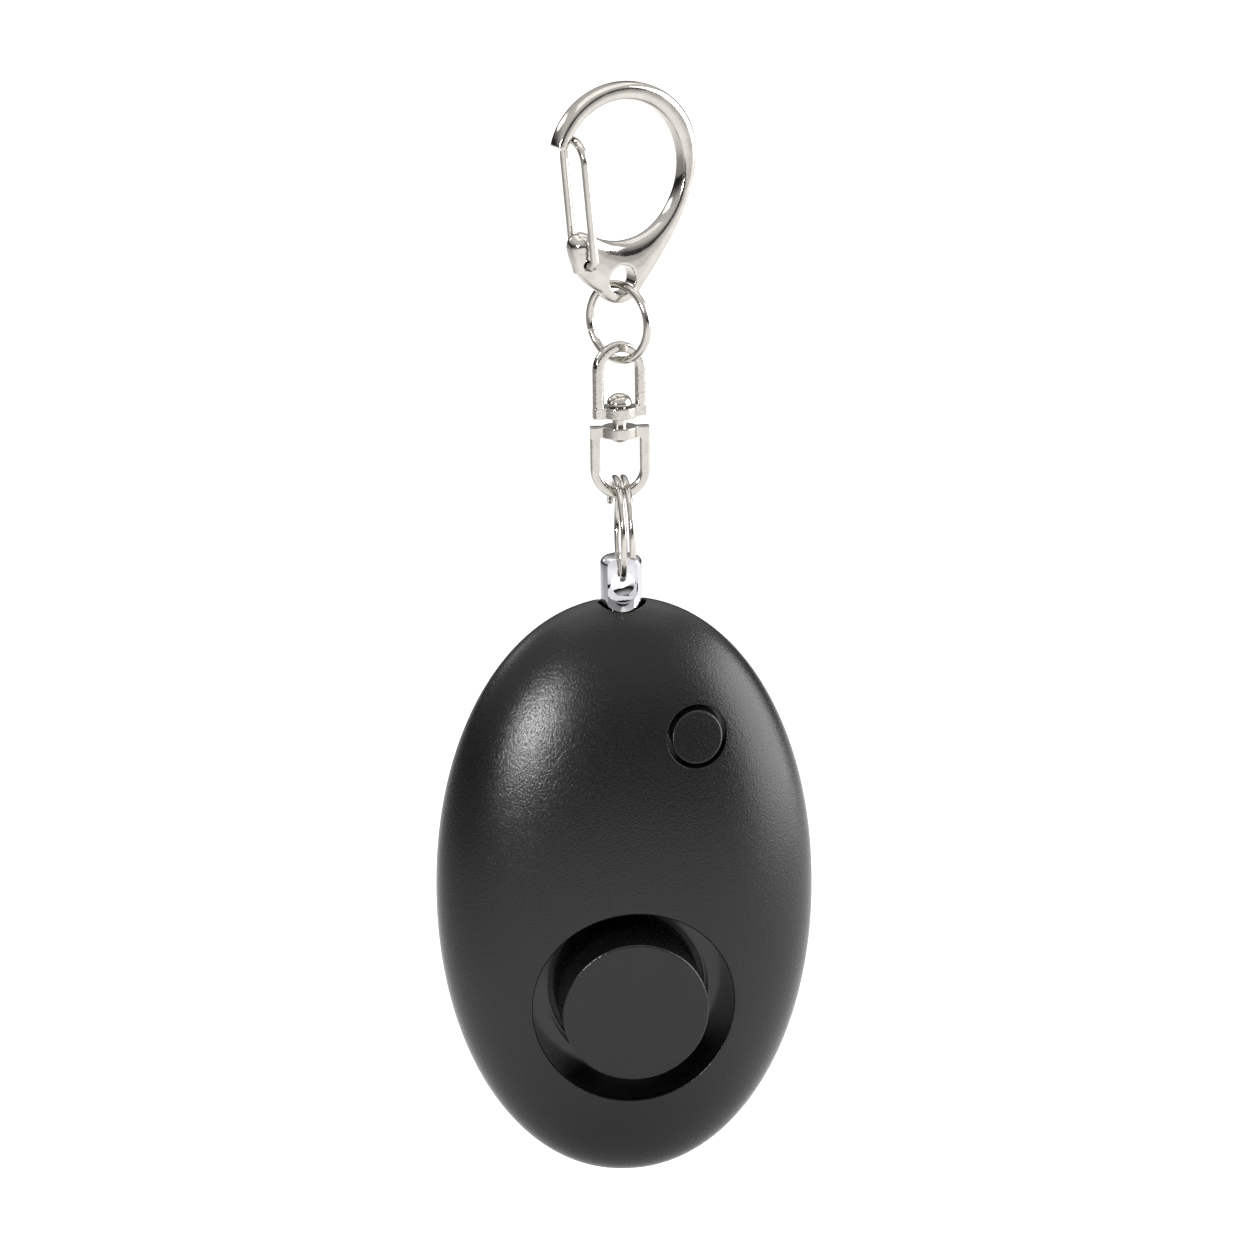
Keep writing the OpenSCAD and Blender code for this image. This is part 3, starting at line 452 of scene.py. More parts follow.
def rod(radius, start_point, end_point, sides=96):
    """Closed cylinder between two points, turned so that no corner lies on the parting plane."""
    line = Vector(end_point) - Vector(start_point)
    made = start(bpy.ops.mesh.primitive_cylinder_add, vertices=sides, radius=radius, depth=line.length)
    made.matrix_world = Matrix.Translation((Vector(start_point) + Vector(end_point)) / 2) @ (
        Vector((0, 0, 1)).rotation_difference(line).to_matrix().to_4x4()) @ Matrix.Rotation(math.pi / sides, 4, "Z")
    apply_place(made)
    return made


def block(low, high):
    """Closed box between two corners."""
    made = start(bpy.ops.mesh.primitive_cube_add, size=1)
    made.location = (Vector(low) + Vector(high)) / 2
    made.scale = Vector(high) - Vector(low)
    apply_place(made)
    return made


def close_open_ends():
    """In edit mode, fills every open edge loop with one face."""
    bpy.ops.mesh.select_mode(type="EDGE")
    bpy.ops.mesh.select_all(action="DESELECT")
    bpy.ops.mesh.select_non_manifold(extend=False, use_wire=False, use_multi_face=False, use_verts=False)
    bpy.ops.mesh.edge_face_add()


def sweep(rings, closed=False):
    """Skin over rings of points, from each ring to the next, with its ends filled unless it closes on itself."""
    count = len(rings[0])
    points = [tuple(p) for ring in rings for p in ring]
    spans = len(rings) if closed else len(rings) - 1
    faces = [
        (j * count + k, j * count + (k + 1) % count,
         (j + 1) % len(rings) * count + (k + 1) % count, (j + 1) % len(rings) * count + k)
        for j in range(spans) for k in range(count)
    ]
    mesh = bpy.data.meshes.new("sweep")
    mesh.from_pydata(points, [], faces)
    made = bpy.data.objects.new("sweep", mesh)
    bpy.context.scene.collection.objects.link(made)
    edit(made)
    close_open_ends()
    leave_edit()
    outward(made)
    return made


def lathe(profile, axis_point, steps=96):
    """Turned piece: a line of (radius, height) points spun about the vertical through axis_point."""
    centre = Vector(axis_point)
    mesh = bpy.data.meshes.new("lathe")
    mesh.from_pydata([centre + Vector((r, 0, h)) for r, h in profile],
                     [(k, k + 1) for k in range(len(profile) - 1)], [])
    made = bpy.data.objects.new("lathe", mesh)
    bpy.context.scene.collection.objects.link(made)
    edit(made)
    bpy.ops.mesh.select_all(action="SELECT")
    bpy.ops.mesh.spin(steps=steps, angle=2 * math.pi, center=centre, axis=(0, 0, 1))
    leave_edit()
    outward(made)
    return made


def round_corner(r, h, bevel, steps=6):
    """Points of a rounded outer top corner of a turned piece."""
    return [(r - bevel + bevel * math.cos(a), h - bevel + bevel * math.sin(a))
            for a in (math.pi / 2 * k / steps for k in range(steps + 1))]


# The egg-shaped case
def signed_power(value, exponent):
    return math.copysign(abs(value) ** exponent, value)


def egg_depth(x, z, grow=0.0):
    """Distance of the egg's surface from the parting plane at x, z."""
    px = (abs(x) / (CASE_HALF_W + grow)) ** CASE_FULLNESS
    pz = (abs(z) / (CASE_HALF_H + grow)) ** CASE_FULLNESS
    return (CASE_HALF_D + grow) * math.sqrt(max(0.0, 1 - (px + pz) ** (2 / CASE_FULLNESS)))


def egg_height(x, y):
    """Distance of the egg's surface from its middle height at x, y."""
    across = (1 - (y / CASE_HALF_D) ** 2) ** (CASE_FULLNESS / 2)
    return CASE_HALF_H * (across - (abs(x) / CASE_HALF_W) ** CASE_FULLNESS) ** (1 / CASE_FULLNESS)


def egg_normal(x, z):
    """Outward direction of the egg's front at x, z."""
    step = 0.01
    slope_x = (egg_depth(x + step, z) - egg_depth(x - step, z)) / (2 * step)
    slope_z = (egg_depth(x, z + step) - egg_depth(x, z - step)) / (2 * step)
    return Vector((-slope_x, -1, -slope_z)).normalized()


def egg(grow, segments, rings):
    """Closed egg, grown or shrunk from the case's outside, with its poles at top and bottom."""
    made = start(bpy.ops.mesh.primitive_uv_sphere_add, segments=segments, ring_count=rings, radius=1)
    exponent = 2 / CASE_FULLNESS

    def to_egg(p):
        reach = math.hypot(p.x, p.z)
        turn = math.atan2(p.z, p.x)
        return Vector((
            reach * (CASE_HALF_W + grow) * signed_power(math.cos(turn), exponent),
            p.y * (CASE_HALF_D + grow),
            reach * (CASE_HALF_H + grow) * signed_power(math.sin(turn), exponent),
        ))

    move_points(made, to_egg)
    return made


def half(obj, front):
    """Keeps the half in front of the parting plane, or the one behind it, and closes it."""
    edit(obj)
    bpy.ops.mesh.select_all(action="SELECT")
    bpy.ops.mesh.bisect(plane_co=(0, 0, 0), plane_no=(0, 1, 0), threshold=0.0001,
                        clear_inner=not front, clear_outer=front)
    close_open_ends()
    leave_edit()
    outward(obj)
    return obj


def rim_cutter(rim, round_r, steps=8):
    """Ring that rounds off the edge of a hole. rim is a list of (edge point, direction along the surface away
    from the hole, direction down the hole's wall)."""
    over = 0.6 * round_r
    corner = [(round_r - round_r * math.sin(a), round_r - round_r * math.cos(a))
              for a in (math.pi / 2 * k / steps for k in range(steps + 1))]
    profile = corner + [(-over, round_r), (-over, -over), (round_r, -over)]
    rings = [[point + along * u + down * v for u, v in profile] for point, along, down in rim]
    return sweep(rings, closed=True)


def front_hole_rim(x, z, radius, count):
    """Edge of a hole along Y where it meets the egg's front."""
    rim = []
    for k in range(count):
        turn = 2 * math.pi * k / count
        out = Vector((math.cos(turn), 0, math.sin(turn)))
        point = Vector((x, 0, z)) + out * radius
        point.y = -egg_depth(point.x, point.z)
        normal = egg_normal(point.x, point.z)
        along = (out - normal * out.dot(normal)).normalized()
        rim.append((point, along, Vector((0, 1, 0))))
    return rim


def end_hole_rim(radius, top, count):
    """Edge of a hole along Z where it meets the egg's top or bottom."""
    up = 1 if top else -1
    step = 0.01
    rim = []
    for k in range(count):
        turn = 2 * math.pi * (k + 0.5) / count
        out = Vector((math.cos(turn), math.sin(turn), 0))
        x, y = out.x * radius, out.y * radius
        further = egg_height(x + out.x * step, y + out.y * step)
        along = (out * step + Vector((0, 0, up * (further - egg_height(x, y))))).normalized()
        rim.append((Vector((x, y, up * egg_height(x, y))), along, Vector((0, 0, -up))))
    return rim


def parting_groove(depth, count=240):
    """V-shaped ring along the parting line."""
    rings = []
    for k in range(count):
        turn = 2 * math.pi * k / count
        x = signed_power(math.cos(turn), 2 / CASE_FULLNESS) * CASE_HALF_W
        z = signed_power(math.sin(turn), 2 / CASE_FULLNESS) * CASE_HALF_H
        out = Vector((x / CASE_HALF_W ** 2, 0, z / CASE_HALF_H ** 2)).normalized()
        point = Vector((x, 0, z))
        rings.append([point - out * depth, point + out * depth + Vector((0, depth * 1.6, 0)),
                      point + out * depth - Vector((0, depth * 1.6, 0))])
    return sweep(rings, closed=True)


def lower_to_case(obj):
    """Moves a piece drawn about the middle of the case to its place."""
    move_points(obj, lambda p: p + Vector((0, 0, CASE_Z)))
    return obj


def cut_polished(shell, tool, finish=None):
    finish_with(tool, finish or POLISHED_ABS)
    combine(shell, tool, "DIFFERENCE")


def off_parting_plane(obj, shift):
    """Moves the points that lie on the parting plane along Y by shift, so that no two caps coincide."""
    move_points(obj, lambda p: Vector((p.x, shift, p.z)) if abs(p.y) < 0.001 else p)


def shell_half(front, rims):
    """Wall of one half with its parting groove, rounded rims, socket block, screw bosses and end openings."""
    side = -1 if front else 1
    shell = half(egg(0, SEGMENTS, RINGS), front)
    finish_with(shell, TEXTURED_ABS)
    cut_polished(shell, parting_groove(GROOVE))
    foot = block((-CASE_HALF_W, -CASE_HALF_D, -2 * CASE_HALF_H), (CASE_HALF_W, CASE_HALF_D, FOOT_CUT - CASE_HALF_H))
    cut_polished(shell, foot, TEXTURED_ABS)
    for rim in rims:
        cut_polished(shell, rim, TEXTURED_ABS)
    hollow = half(egg(-WALL, SEGMENTS // 2, RINGS // 2), front)
    off_parting_plane(hollow, -side * WALL)
    cut_polished(shell, hollow)
    inner = half(egg(-WALL / 2, SEGMENTS // 2, RINGS // 2), front)
    off_parting_plane(inner, side * 0.02)
    fill = rod(CHIMNEY_R, (0, 0, CASE_HALF_H - SOCKET_DEPTH - SOCKET_FLOOR), (0, 0, CASE_HALF_H))
    for x in (-SCREW_X, SCREW_X):
        combine(fill, rod(SCREW_BOSS_R, (x, 0, SCREW_Z), (x, side * CASE_HALF_D, SCREW_Z), sides=48), "UNION")
    if front:
        well = rod(RECESS_R + WALL, (0, -CASE_HALF_D, RECESS_Z), (0, LEDGE_Y + LEDGE_T, RECESS_Z))
        combine(fill, well, "UNION")
        guide = rod(BUTTON_R + BUTTON_GAP + WALL, (BUTTON_X, -CASE_HALF_D, BUTTON_Z), (BUTTON_X, GUIDE_BACK, BUTTON_Z))
        combine(fill, guide, "UNION")
    finish_with(fill, POLISHED_ABS)
    finish_with(inner, POLISHED_ABS)
    combine(fill, inner, "INTERSECT")
    combine(shell, fill, "UNION")
    cut_polished(shell, rod(PIN_R + PIN_GAP, (0, 0, CASE_HALF_H - SOCKET_DEPTH), (0, 0, 2 * CASE_HALF_H)))
    cut_polished(shell, rod(WINDOW_R + WINDOW_GAP, (0, 0, -2 * CASE_HALF_H), (0, 0, -CASE_HALF_H + WINDOW_BORE_H)))
    return shell


def socket_rim():
    return rim_cutter(end_hole_rim(PIN_R + PIN_GAP, True, 96), SOCKET_RIM_ROUND)


def front_shell():
    front = -2 * CASE_HALF_D
    shell = shell_half(True, [
        socket_rim(),
        rim_cutter(front_hole_rim(0, RECESS_Z, RECESS_R, 160), RIM_ROUND),
        rim_cutter(front_hole_rim(BUTTON_X, BUTTON_Z, BUTTON_R + BUTTON_GAP, 96), BUTTON_RIM_ROUND),
    ])
    cut_polished(shell, rod(RECESS_R, (0, front, RECESS_Z), (0, LEDGE_Y, RECESS_Z), sides=160))
    cut_polished(shell, rod(THROAT_R, (0, front, RECESS_Z), (0, 1, RECESS_Z), sides=144))
    cut_polished(shell, rod(BUTTON_R + BUTTON_GAP, (BUTTON_X, front, BUTTON_Z), (BUTTON_X, 0, BUTTON_Z)))
    return hand_over(lower_to_case(shell), "case_front", "case", ["front_shell"])


def back_shell():
    shell = shell_half(False, [socket_rim()])
    for x in (-SCREW_X, SCREW_X):
        cut_polished(shell, rod(SCREW_HOLE_R, (x, SCREW_SEAT_Y, SCREW_Z), (x, 2 * CASE_HALF_D, SCREW_Z), sides=64))
    return hand_over(lower_to_case(shell), "case_back", "case", ["back_shell"])


# Sound disc and light button, whose faces lie parallel to the case
def faced_plug(x, z, radius, proud, back, edge_round, crown, steps=128):
    """Round plug along Y with a rounded edge and a slightly crowned face set proud of the egg."""
    normal = egg_normal(x, z)
    face = Vector((x, -egg_depth(x, z), z)) + normal * proud

    def ring(r, below):
        points = []
        for k in range(steps):
            turn = 2 * math.pi * (k + 0.5) / steps
            px, pz = x + r * math.cos(turn), z + r * math.sin(turn)
            py = face.y - (normal.x * (px - x) + normal.z * (pz - z)) / normal.y
            points.append(Vector((px, back if below is None else py + below, pz)))
        return points

    rings = [ring(radius, None), ring(radius, 2 * edge_round)]
    rings += [ring(radius - edge_round * (1 - math.cos(a)), edge_round * (1 - math.sin(a)))
              for a in (math.pi / 2 * k / 6 for k in range(7))]
    inner = radius - edge_round
    rings += [ring(inner * share, -crown * (1 - share ** 2)) for share in (0.9, 0.7, 0.5, 0.3, 0.1)]
    return sweep(rings)


def sound_disc():
    disc = faced_plug(0, RECESS_Z, DISC_R, DISC_PROUD, CAP_BACK, DISC_EDGE_ROUND, DISC_CROWN)
    flange = rod(CAP_FLANGE_R, (0, LEDGE_BACK, RECESS_Z), (0, CAP_BACK, RECESS_Z), sides=144)
    opening = rod(THROAT_R - CAP_FLANGE_LAP, (0, LEDGE_BACK - 1, RECESS_Z), (0, CAP_BACK + 1, RECESS_Z))
    combine(flange, opening, "DIFFERENCE")
    for degrees in TAB_TURNS:
        tab = block((DISC_R - TAB_INTO_DISC, LEDGE_BACK + 0.01, -TAB_HALF_W),
                    (THROAT_R + TAB_INTO_FLANGE, CAP_BACK - 0.01, TAB_HALF_W))
        turn = Matrix.Rotation(math.radians(degrees), 4, "Y")
        move_points(tab, lambda p: turn @ p + Vector((0, 0, RECESS_Z)))
        combine(flange, tab, "UNION")
    finish_with(disc, TEXTURED_ABS)
    finish_with(flange, POLISHED_ABS)
    combine(disc, flange, "UNION")
    return hand_over(lower_to_case(disc), "sound_disc", "case", ["sound_cap"])


def light_button():
    button = faced_plug(BUTTON_X, BUTTON_Z, BUTTON_R, BUTTON_PROUD, GUIDE_BACK + 1, BUTTON_EDGE_ROUND, BUTTON_CROWN,
                        steps=96)
    flange = rod(BUTTON_R + BUTTON_GAP + WALL / 2, (BUTTON_X, GUIDE_BACK + BUTTON_FLANGE_GAP, BUTTON_Z),
                 (BUTTON_X, GUIDE_BACK + BUTTON_FLANGE_GAP + BUTTON_FLANGE_T, BUTTON_Z))
    stem = rod(BUTTON_STEM_R, (BUTTON_X, GUIDE_BACK + 0.9, BUTTON_Z), (BUTTON_X, BUTTON_STEM_Y, BUTTON_Z), sides=48)
    finish_with(button, TEXTURED_ABS)
    finish_with(flange, POLISHED_ABS)
    finish_with(stem, POLISHED_ABS)
    combine(button, flange, "UNION")
    combine(button, stem, "UNION")
    return hand_over(lower_to_case(button), "push_button", "button", ["light_button"])


# Pull pin, window and screws
def pull_pin():
    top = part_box("pin_head")[1].z / MM
    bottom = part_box("pin_head")[0].z / MM + PIN_SEAT_SHOW
    length = top - bottom
    pin = lathe([(0, 0), (PIN_R - PIN_FOOT_CHAMFER, 0), (PIN_R, PIN_FOOT_CHAMFER), (PIN_R, length - 1.5)]
                + round_corner(PIN_R, length, PIN_TOP_ROUND) + [(0, length)], (0, 0, bottom))
    hole_z = top - PIN_HOLE_DROP
    for side in (-1, 1):
        flat = side * PIN_FLATS / 2
        cut = rod(PIN_R - PIN_FLAT_INSET, (0, flat, hole_z), (0, flat + side * PIN_R, hole_z))
        low = (-2 * PIN_R, min(flat, 2 * flat), hole_z)
        combine(cut, block(low, (2 * PIN_R, max(flat, 2 * flat), hole_z + 2 * PIN_R)), "UNION")
        combine(pin, cut, "DIFFERENCE")
    combine(pin, rod(PIN_HOLE_R, (0, -2 * PIN_R, hole_z), (0, 2 * PIN_R, hole_z), sides=64), "DIFFERENCE")
    combine(pin, rod(PIN_BORE_R, (0, 0, bottom - 1), (0, 0, bottom + PIN_BORE_DEPTH), sides=32), "DIFFERENCE")
    modify(pin, "BEVEL", width=PIN_EDGE_ROUND, segments=3, limit_method="ANGLE", angle_limit=math.radians(38),
           harden_normals=False)
    finish_with(pin, CHROME)
    return hand_over(pin, "pull_pin", "pin", ["pin_head"], smooth_deg=40)


def lamp_window():
    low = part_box("light_window")[0].z / MM
    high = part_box("light_window")[1].z / MM
    rise = high - low
    window = lathe([(0, 0), (0.5 * WINDOW_R, 0.02), (WINDOW_R - 0.2, 0.05), (WINDOW_R - 0.06, 0.09), (WINDOW_R, 0.25),
                    (WINDOW_R, rise - WINDOW_FLANGE), (WINDOW_R + WINDOW_FLANGE, rise - WINDOW_FLANGE),
                    (WINDOW_R + WINDOW_FLANGE, rise), (0, rise)],
                   (0, 0, low))
    finish_with(window, CLEAR)
    return hand_over(window, "lamp_window", "case", ["light_window"])


def case_screws():
    """Pan-head screws from the back, with a cross recess."""
    made = []
    head_y = SCREW_SEAT_Y + SCREW_HEAD_H
    for x in (-SCREW_X, SCREW_X):
        screw = lathe([(0, -SCREW_SEAT_Y), (0.7, -SCREW_SEAT_Y), (SCREW_SHANK_R, -SCREW_SEAT_Y + 0.4),
                       (SCREW_SHANK_R, SCREW_SEAT_Y), (1.8, SCREW_SEAT_Y), (SCREW_HEAD_R, SCREW_SEAT_Y + 0.15),
                       (1.88, head_y - 0.55), (1.7, head_y - 0.25), (1.3, head_y - 0.07), (0.7, head_y),
                       (0, head_y)], (0, 0, 0), steps=64)
        for turn in (0, 90):
            slot = block((-SCREW_SLOT_HALF_L, -SCREW_SLOT_HALF_W, head_y - SCREW_SLOT_DEPTH),
                         (SCREW_SLOT_HALF_L, SCREW_SLOT_HALF_W, head_y + 0.5))
            rotate = Matrix.Rotation(math.radians(turn), 4, "Z")
            move_points(slot, lambda p: rotate @ p)
            combine(screw, slot, "DIFFERENCE")
        move_points(screw, lambda p: Vector((p.x + x, p.z, -p.y + SCREW_Z + CASE_Z)))
        made.append(screw)
    choose(made[0])
    made[1].select_set(True)
    bpy.ops.object.join()
    finish_with(made[0], SCREW_STEEL)
    return hand_over(made[0], "case_screws", "case", ["shell_screws"])


# Chain
def tube_ring(centre, out, across, radius, sides, squareness=2.0):
    """Section of a wire or bar: round at squareness 2, and nearer to a square above that."""
    power = 2 / squareness
    return [
        centre + out * (radius * signed_power(math.cos(a), power))
        + across * (radius * signed_power(math.sin(a), power))
        for a in (2 * math.pi * k / sides for k in range(sides))
    ]


def link_ring():
    """Closed wire ring with a fine butt joint where its ends meet."""
    low, high = (corner.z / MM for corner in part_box("link_ring"))
    ring_r = (high - low) / 2 - LINK_WIRE_R
    ring = start(bpy.ops.mesh.primitive_torus_add, major_segments=240, minor_segments=28, major_radius=ring_r,
                 minor_radius=LINK_WIRE_R)
    stand = Matrix.Rotation(LINK_RING_YAW, 4, "Z") @ Matrix.Rotation(math.pi / 2, 4, "X")

    def place(p):
        turn = math.atan2(p.y, p.x) % (2 * math.pi)
        middle = Vector((ring_r * math.cos(turn), ring_r * math.sin(turn), 0))
        shrink = LINK_JOINT_SHRINK if abs(turn - LINK_JOINT) < LINK_JOINT_HALF else 1
        return stand @ (middle + (p - middle) * shrink) + Vector((0, 0, (low + high) / 2))

    move_points(ring, place)
    finish_with(ring, WIRE_NICKEL)
    return hand_over(ring, "chain_ring", "ring", ["link_ring"], smooth_deg=60)


def split_ring():
    """One and a half turns of round wire with blunt, slightly rounded ends."""
    steps = 260
    low, high = (corner.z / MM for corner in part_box("split_ring"))
    ring_r = (high - low) / 2 - SPLIT_CAD_WIRE_R
    middle_z = (low + high) / 2
    slope = math.atan2(SPLIT_PITCH, 2 * math.pi * ring_r)
    rings = []
    ends = {0: 0.78, 1: 0.93, steps - 1: 0.93, steps: 0.78}
    for j in range(steps + 1):
        share = min(max(j - 1, 0) / (steps - 2), 1)
        angle = SPLIT_FIRST_DEG + (SPLIT_LAST_DEG - SPLIT_FIRST_DEG) * share
        nudge = {0: -0.04, steps: 0.04}.get(j, 0)
        t = math.radians(angle + math.degrees(nudge / ring_r))
        aside = -SPLIT_PITCH * (math.degrees(t) - 270) / 360
        centre = Vector((aside, -ring_r * math.cos(t), middle_z + ring_r * math.sin(t)))
        out = Vector((0, -math.cos(t), math.sin(t)))
        across = Vector((math.cos(slope), math.sin(slope) * math.sin(t), math.sin(slope) * math.cos(t)))
        rings.append(tube_ring(centre, out, across, SPLIT_WIRE_R * ends.get(j, 1), 24))
    ring = sweep(rings)
    finish_with(ring, WIRE_NICKEL)
    return hand_over(ring, "split_ring_coil", "split", ["split_ring"], smooth_deg=50)


def cast_smooth(obj, voxel, rounds):
    """Melts a union of solids into one casting with small fillets."""
    modify(obj, "REMESH", mode="VOXEL", voxel_size=voxel)
    modify(obj, "SMOOTH", factor=0.5, iterations=rounds)


def swivel_bail(width, height, bore_r):
    """Bow on two square-shouldered legs with a cross bar and a drilled hub, hanging bow down from z = 0."""
    leg_x = (width - BAIL_WIRE) / 2
    bow_z = -height + width / 2
    path = [(-leg_x, 0.0), (-leg_x, bow_z * 0.5)]
    path += [(-leg_x * math.cos(a), bow_z - leg_x * math.sin(a)) for a in (math.pi * k / 24 for k in range(25))]
    path += [(leg_x, bow_z * 0.5), (leg_x, 0.0)]
    rings = []
    for k, (x, z) in enumerate(path):
        before, after = path[max(k - 1, 0)], path[min(k + 1, len(path) - 1)]
        along = Vector((after[0] - before[0], 0, after[1] - before[1])).normalized()
        across = Vector((0, 1, 0))
        rings.append(tube_ring(Vector((x, 0, z)), along.cross(across), across, BAIL_WIRE / 2, 24,
                               squareness=BAIL_SQUARENESS))
    bail = sweep(rings)
    half_t = BAIL_WIRE / 2
    bar = block((-width / 2 + 0.05, -half_t * 0.96, -BAR_H), (width / 2 - 0.05, half_t * 0.96, -0.01))
    combine(bail, bar, "UNION")
    combine(bail, rod(HUB_R, (0, 0, -BAR_H - 0.005), (0, 0, -0.005)), "UNION")
    combine(bail, rod(bore_r, (0, 0, -2 * BAR_H), (0, 0, BAR_H), sides=64), "DIFFERENCE")
    cast_smooth(bail, BAIL_VOXEL, 3)
    return bail


def upper_bail():
    low, high = (corner.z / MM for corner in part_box("swivel_upper_bail"))
    bail = swivel_bail(UPPER_BAIL_W, high - low, RIVET_R + 0.08)
    turn = Matrix.Translation((0, 0, low)) @ Matrix.Rotation(UPPER_BAIL_YAW, 4, "Z") @ Matrix.Rotation(math.pi, 4, "Y")
    move_points(bail, lambda p: turn @ p)
    finish_with(bail, PITTED_NICKEL)
    return hand_over(bail, "upper_bail", "upper_swivel", ["swivel_upper_bail"], smooth_deg=60)


def lower_bail():
    low, high = (corner.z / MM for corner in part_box("swivel_lower_bail"))
    bail = swivel_bail(LOWER_BAIL_W, high - low, RIVET_R + 0.02)
    move_points(bail, lambda p: p + Vector((0, 0, high)))
    finish_with(bail, CAST_NICKEL)
    return hand_over(bail, "lower_bail", "lower_swivel", ["swivel_lower_bail"], smooth_deg=60)


def swivel_rivet():
    low, high = (corner.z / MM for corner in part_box("swivel_rivet"))
    length = high - low
    head_h = RIVET_HEAD_H
    dome = [(RIVET_HEAD_R * math.cos(a), length - head_h + 0.12 + (head_h - 0.12) * math.sin(a))
            for a in (math.pi / 2 * k / 12 for k in range(13))]
    dome[-1] = (0, length)
    rivet = lathe([(0, 0), (RIVET_R, 0), (RIVET_R + 0.35, 0.35), (RIVET_R + 0.3, 0.5), (RIVET_R, 0.5),
                   (RIVET_R, length - head_h), (RIVET_HEAD_R - 0.1, length - head_h)] + dome, (0, 0, low), steps=64)
    finish_with(rivet, CAST_NICKEL)
    return hand_over(rivet, "rivet", "lower_swivel", ["swivel_rivet"], smooth_deg=45)


# Snap hook, drawn in its own plane (u across, z up) and then turned about the chain
def arc(cu, cz, ru, rz, first, last, steps):
    """Points on an ellipse from one angle in degrees up to, but not at, another."""
    turns = (math.radians(first + (last - first) * k / steps) for k in range(steps))
    return [Vector((cu + ru * math.cos(t), cz + rz * math.sin(t))) for t in turns]


def lean(a, b, c, steps, closed=False):
    """Points on a curve from a to c that leans towards b."""
    shares = [k / steps for k in range(steps + 1 if closed else steps)]
    return [a * (1 - t) ** 2 + b * 2 * t * (1 - t) + c * t ** 2 for t in shares]


def to_hook_plane(obj):
    turn = Matrix.Rotation(HOOK_YAW, 4, "Z")
    move_points(obj, lambda p: turn @ p)
    return obj


def snap_hook():
    """Die-cast D hook: an arm that runs from a blunt nose over the top and down to a flat foot with ear and eye."""
    eye = Vector((0, HOOK_EYE_Z))
    tip_r = EYE_R + EYE_WALL
    ear = Vector((HOOK_EAR_U, HOOK_EAR_Z))
    side_from = Vector((ARM_U + ARM_HALF_W, ARM_Z))
    side_to, left_from = (eye + tip_r * Vector((math.cos(a), math.sin(a)))
                          for a in (math.radians(EYE_RIGHT_DEG), math.radians(EYE_LEFT_DEG)))
    left_to = ear - Vector((EAR_R, 0))
    outer = (
        arc(ARM_U, ARM_Z, ARM_HALF_W, ARM_HALF_H, ARM_NOSE_DEG, 0, 72)
        + lean(side_from, side_from + Vector((-0.1, -6.2)), side_to, 32)
        + arc(eye.x, eye.y, tip_r, tip_r, EYE_RIGHT_DEG, EYE_LEFT_DEG, 32)
        + lean(left_from, left_to + Vector((0.4, HOOK_EYE_Z + 0.3 - HOOK_EAR_Z)), left_to, 24, closed=True)
    )
    # The opening is one ellipse, in four spans with as many points as the outside's four
    spans = ((OPEN_NOSE_DEG, 0, 72), (0, -66, 32), (-66, -98, 32), (-98, -118, 25))
    inner = [point for first, last, steps in spans
             for point in arc(OPEN_U, -OPEN_HALF_H, OPEN_HALF_W, OPEN_HALF_H, first, last, steps)]
    rings = []
    for far, near in zip(outer, inner):
        middle, reach = (far + near) / 2, (far - near) / 2
        ring = []
        for k in range(32):
            a = 2 * math.pi * k / 32
            flat = middle + reach * signed_power(math.cos(a), 2 / HOOK_SQUARENESS)
            ring.append(Vector((flat.x, HOOK_T / 2 * signed_power(math.sin(a), 2 / HOOK_SQUARENESS), flat.y)))
        rings.append(ring)
    hook = sweep(rings)
    ridge = []
    foot = Vector((GATE_U + 0.2, GATE_Z - 1.0))
    for k in range(9):
        share = k / 8
        centre = ear.lerp(foot, share)
        half_t = EAR_T / 2 * (1 - share) + (HOOK_T / 2 - EAR_ROOT_INSET) * share
        ridge.append([Vector((centre.x + EAR_R * math.cos(a), half_t * math.sin(a), centre.y))
                      for a in (2 * math.pi * n / 32 for n in range(32))])
    combine(hook, sweep(ridge), "UNION")
    knob = start(bpy.ops.mesh.primitive_uv_sphere_add, segments=48, ring_count=24, radius=EAR_R)
    move_points(knob, lambda p: Vector((p.x + ear.x, p.y * EAR_T / 2 / EAR_R, p.z + ear.y)))
    combine(hook, knob, "UNION")
    combine(hook, rod(EYE_R, (eye.x, -5, eye.y), (eye.x, 5, eye.y), sides=64), "DIFFERENCE")
    combine(hook, rod(GATE_WIRE_R + GATE_BORE_GAP, (GATE_U, -5, GATE_Z), (GATE_U, 5, GATE_Z), sides=48), "DIFFERENCE")
    cast_smooth(hook, HOOK_VOXEL, 3)
    finish_with(hook, CAST_NICKEL)
    return hand_over(to_hook_plane(hook), "hook_casting", "hook", ["snap_hook"], smooth_deg=60)


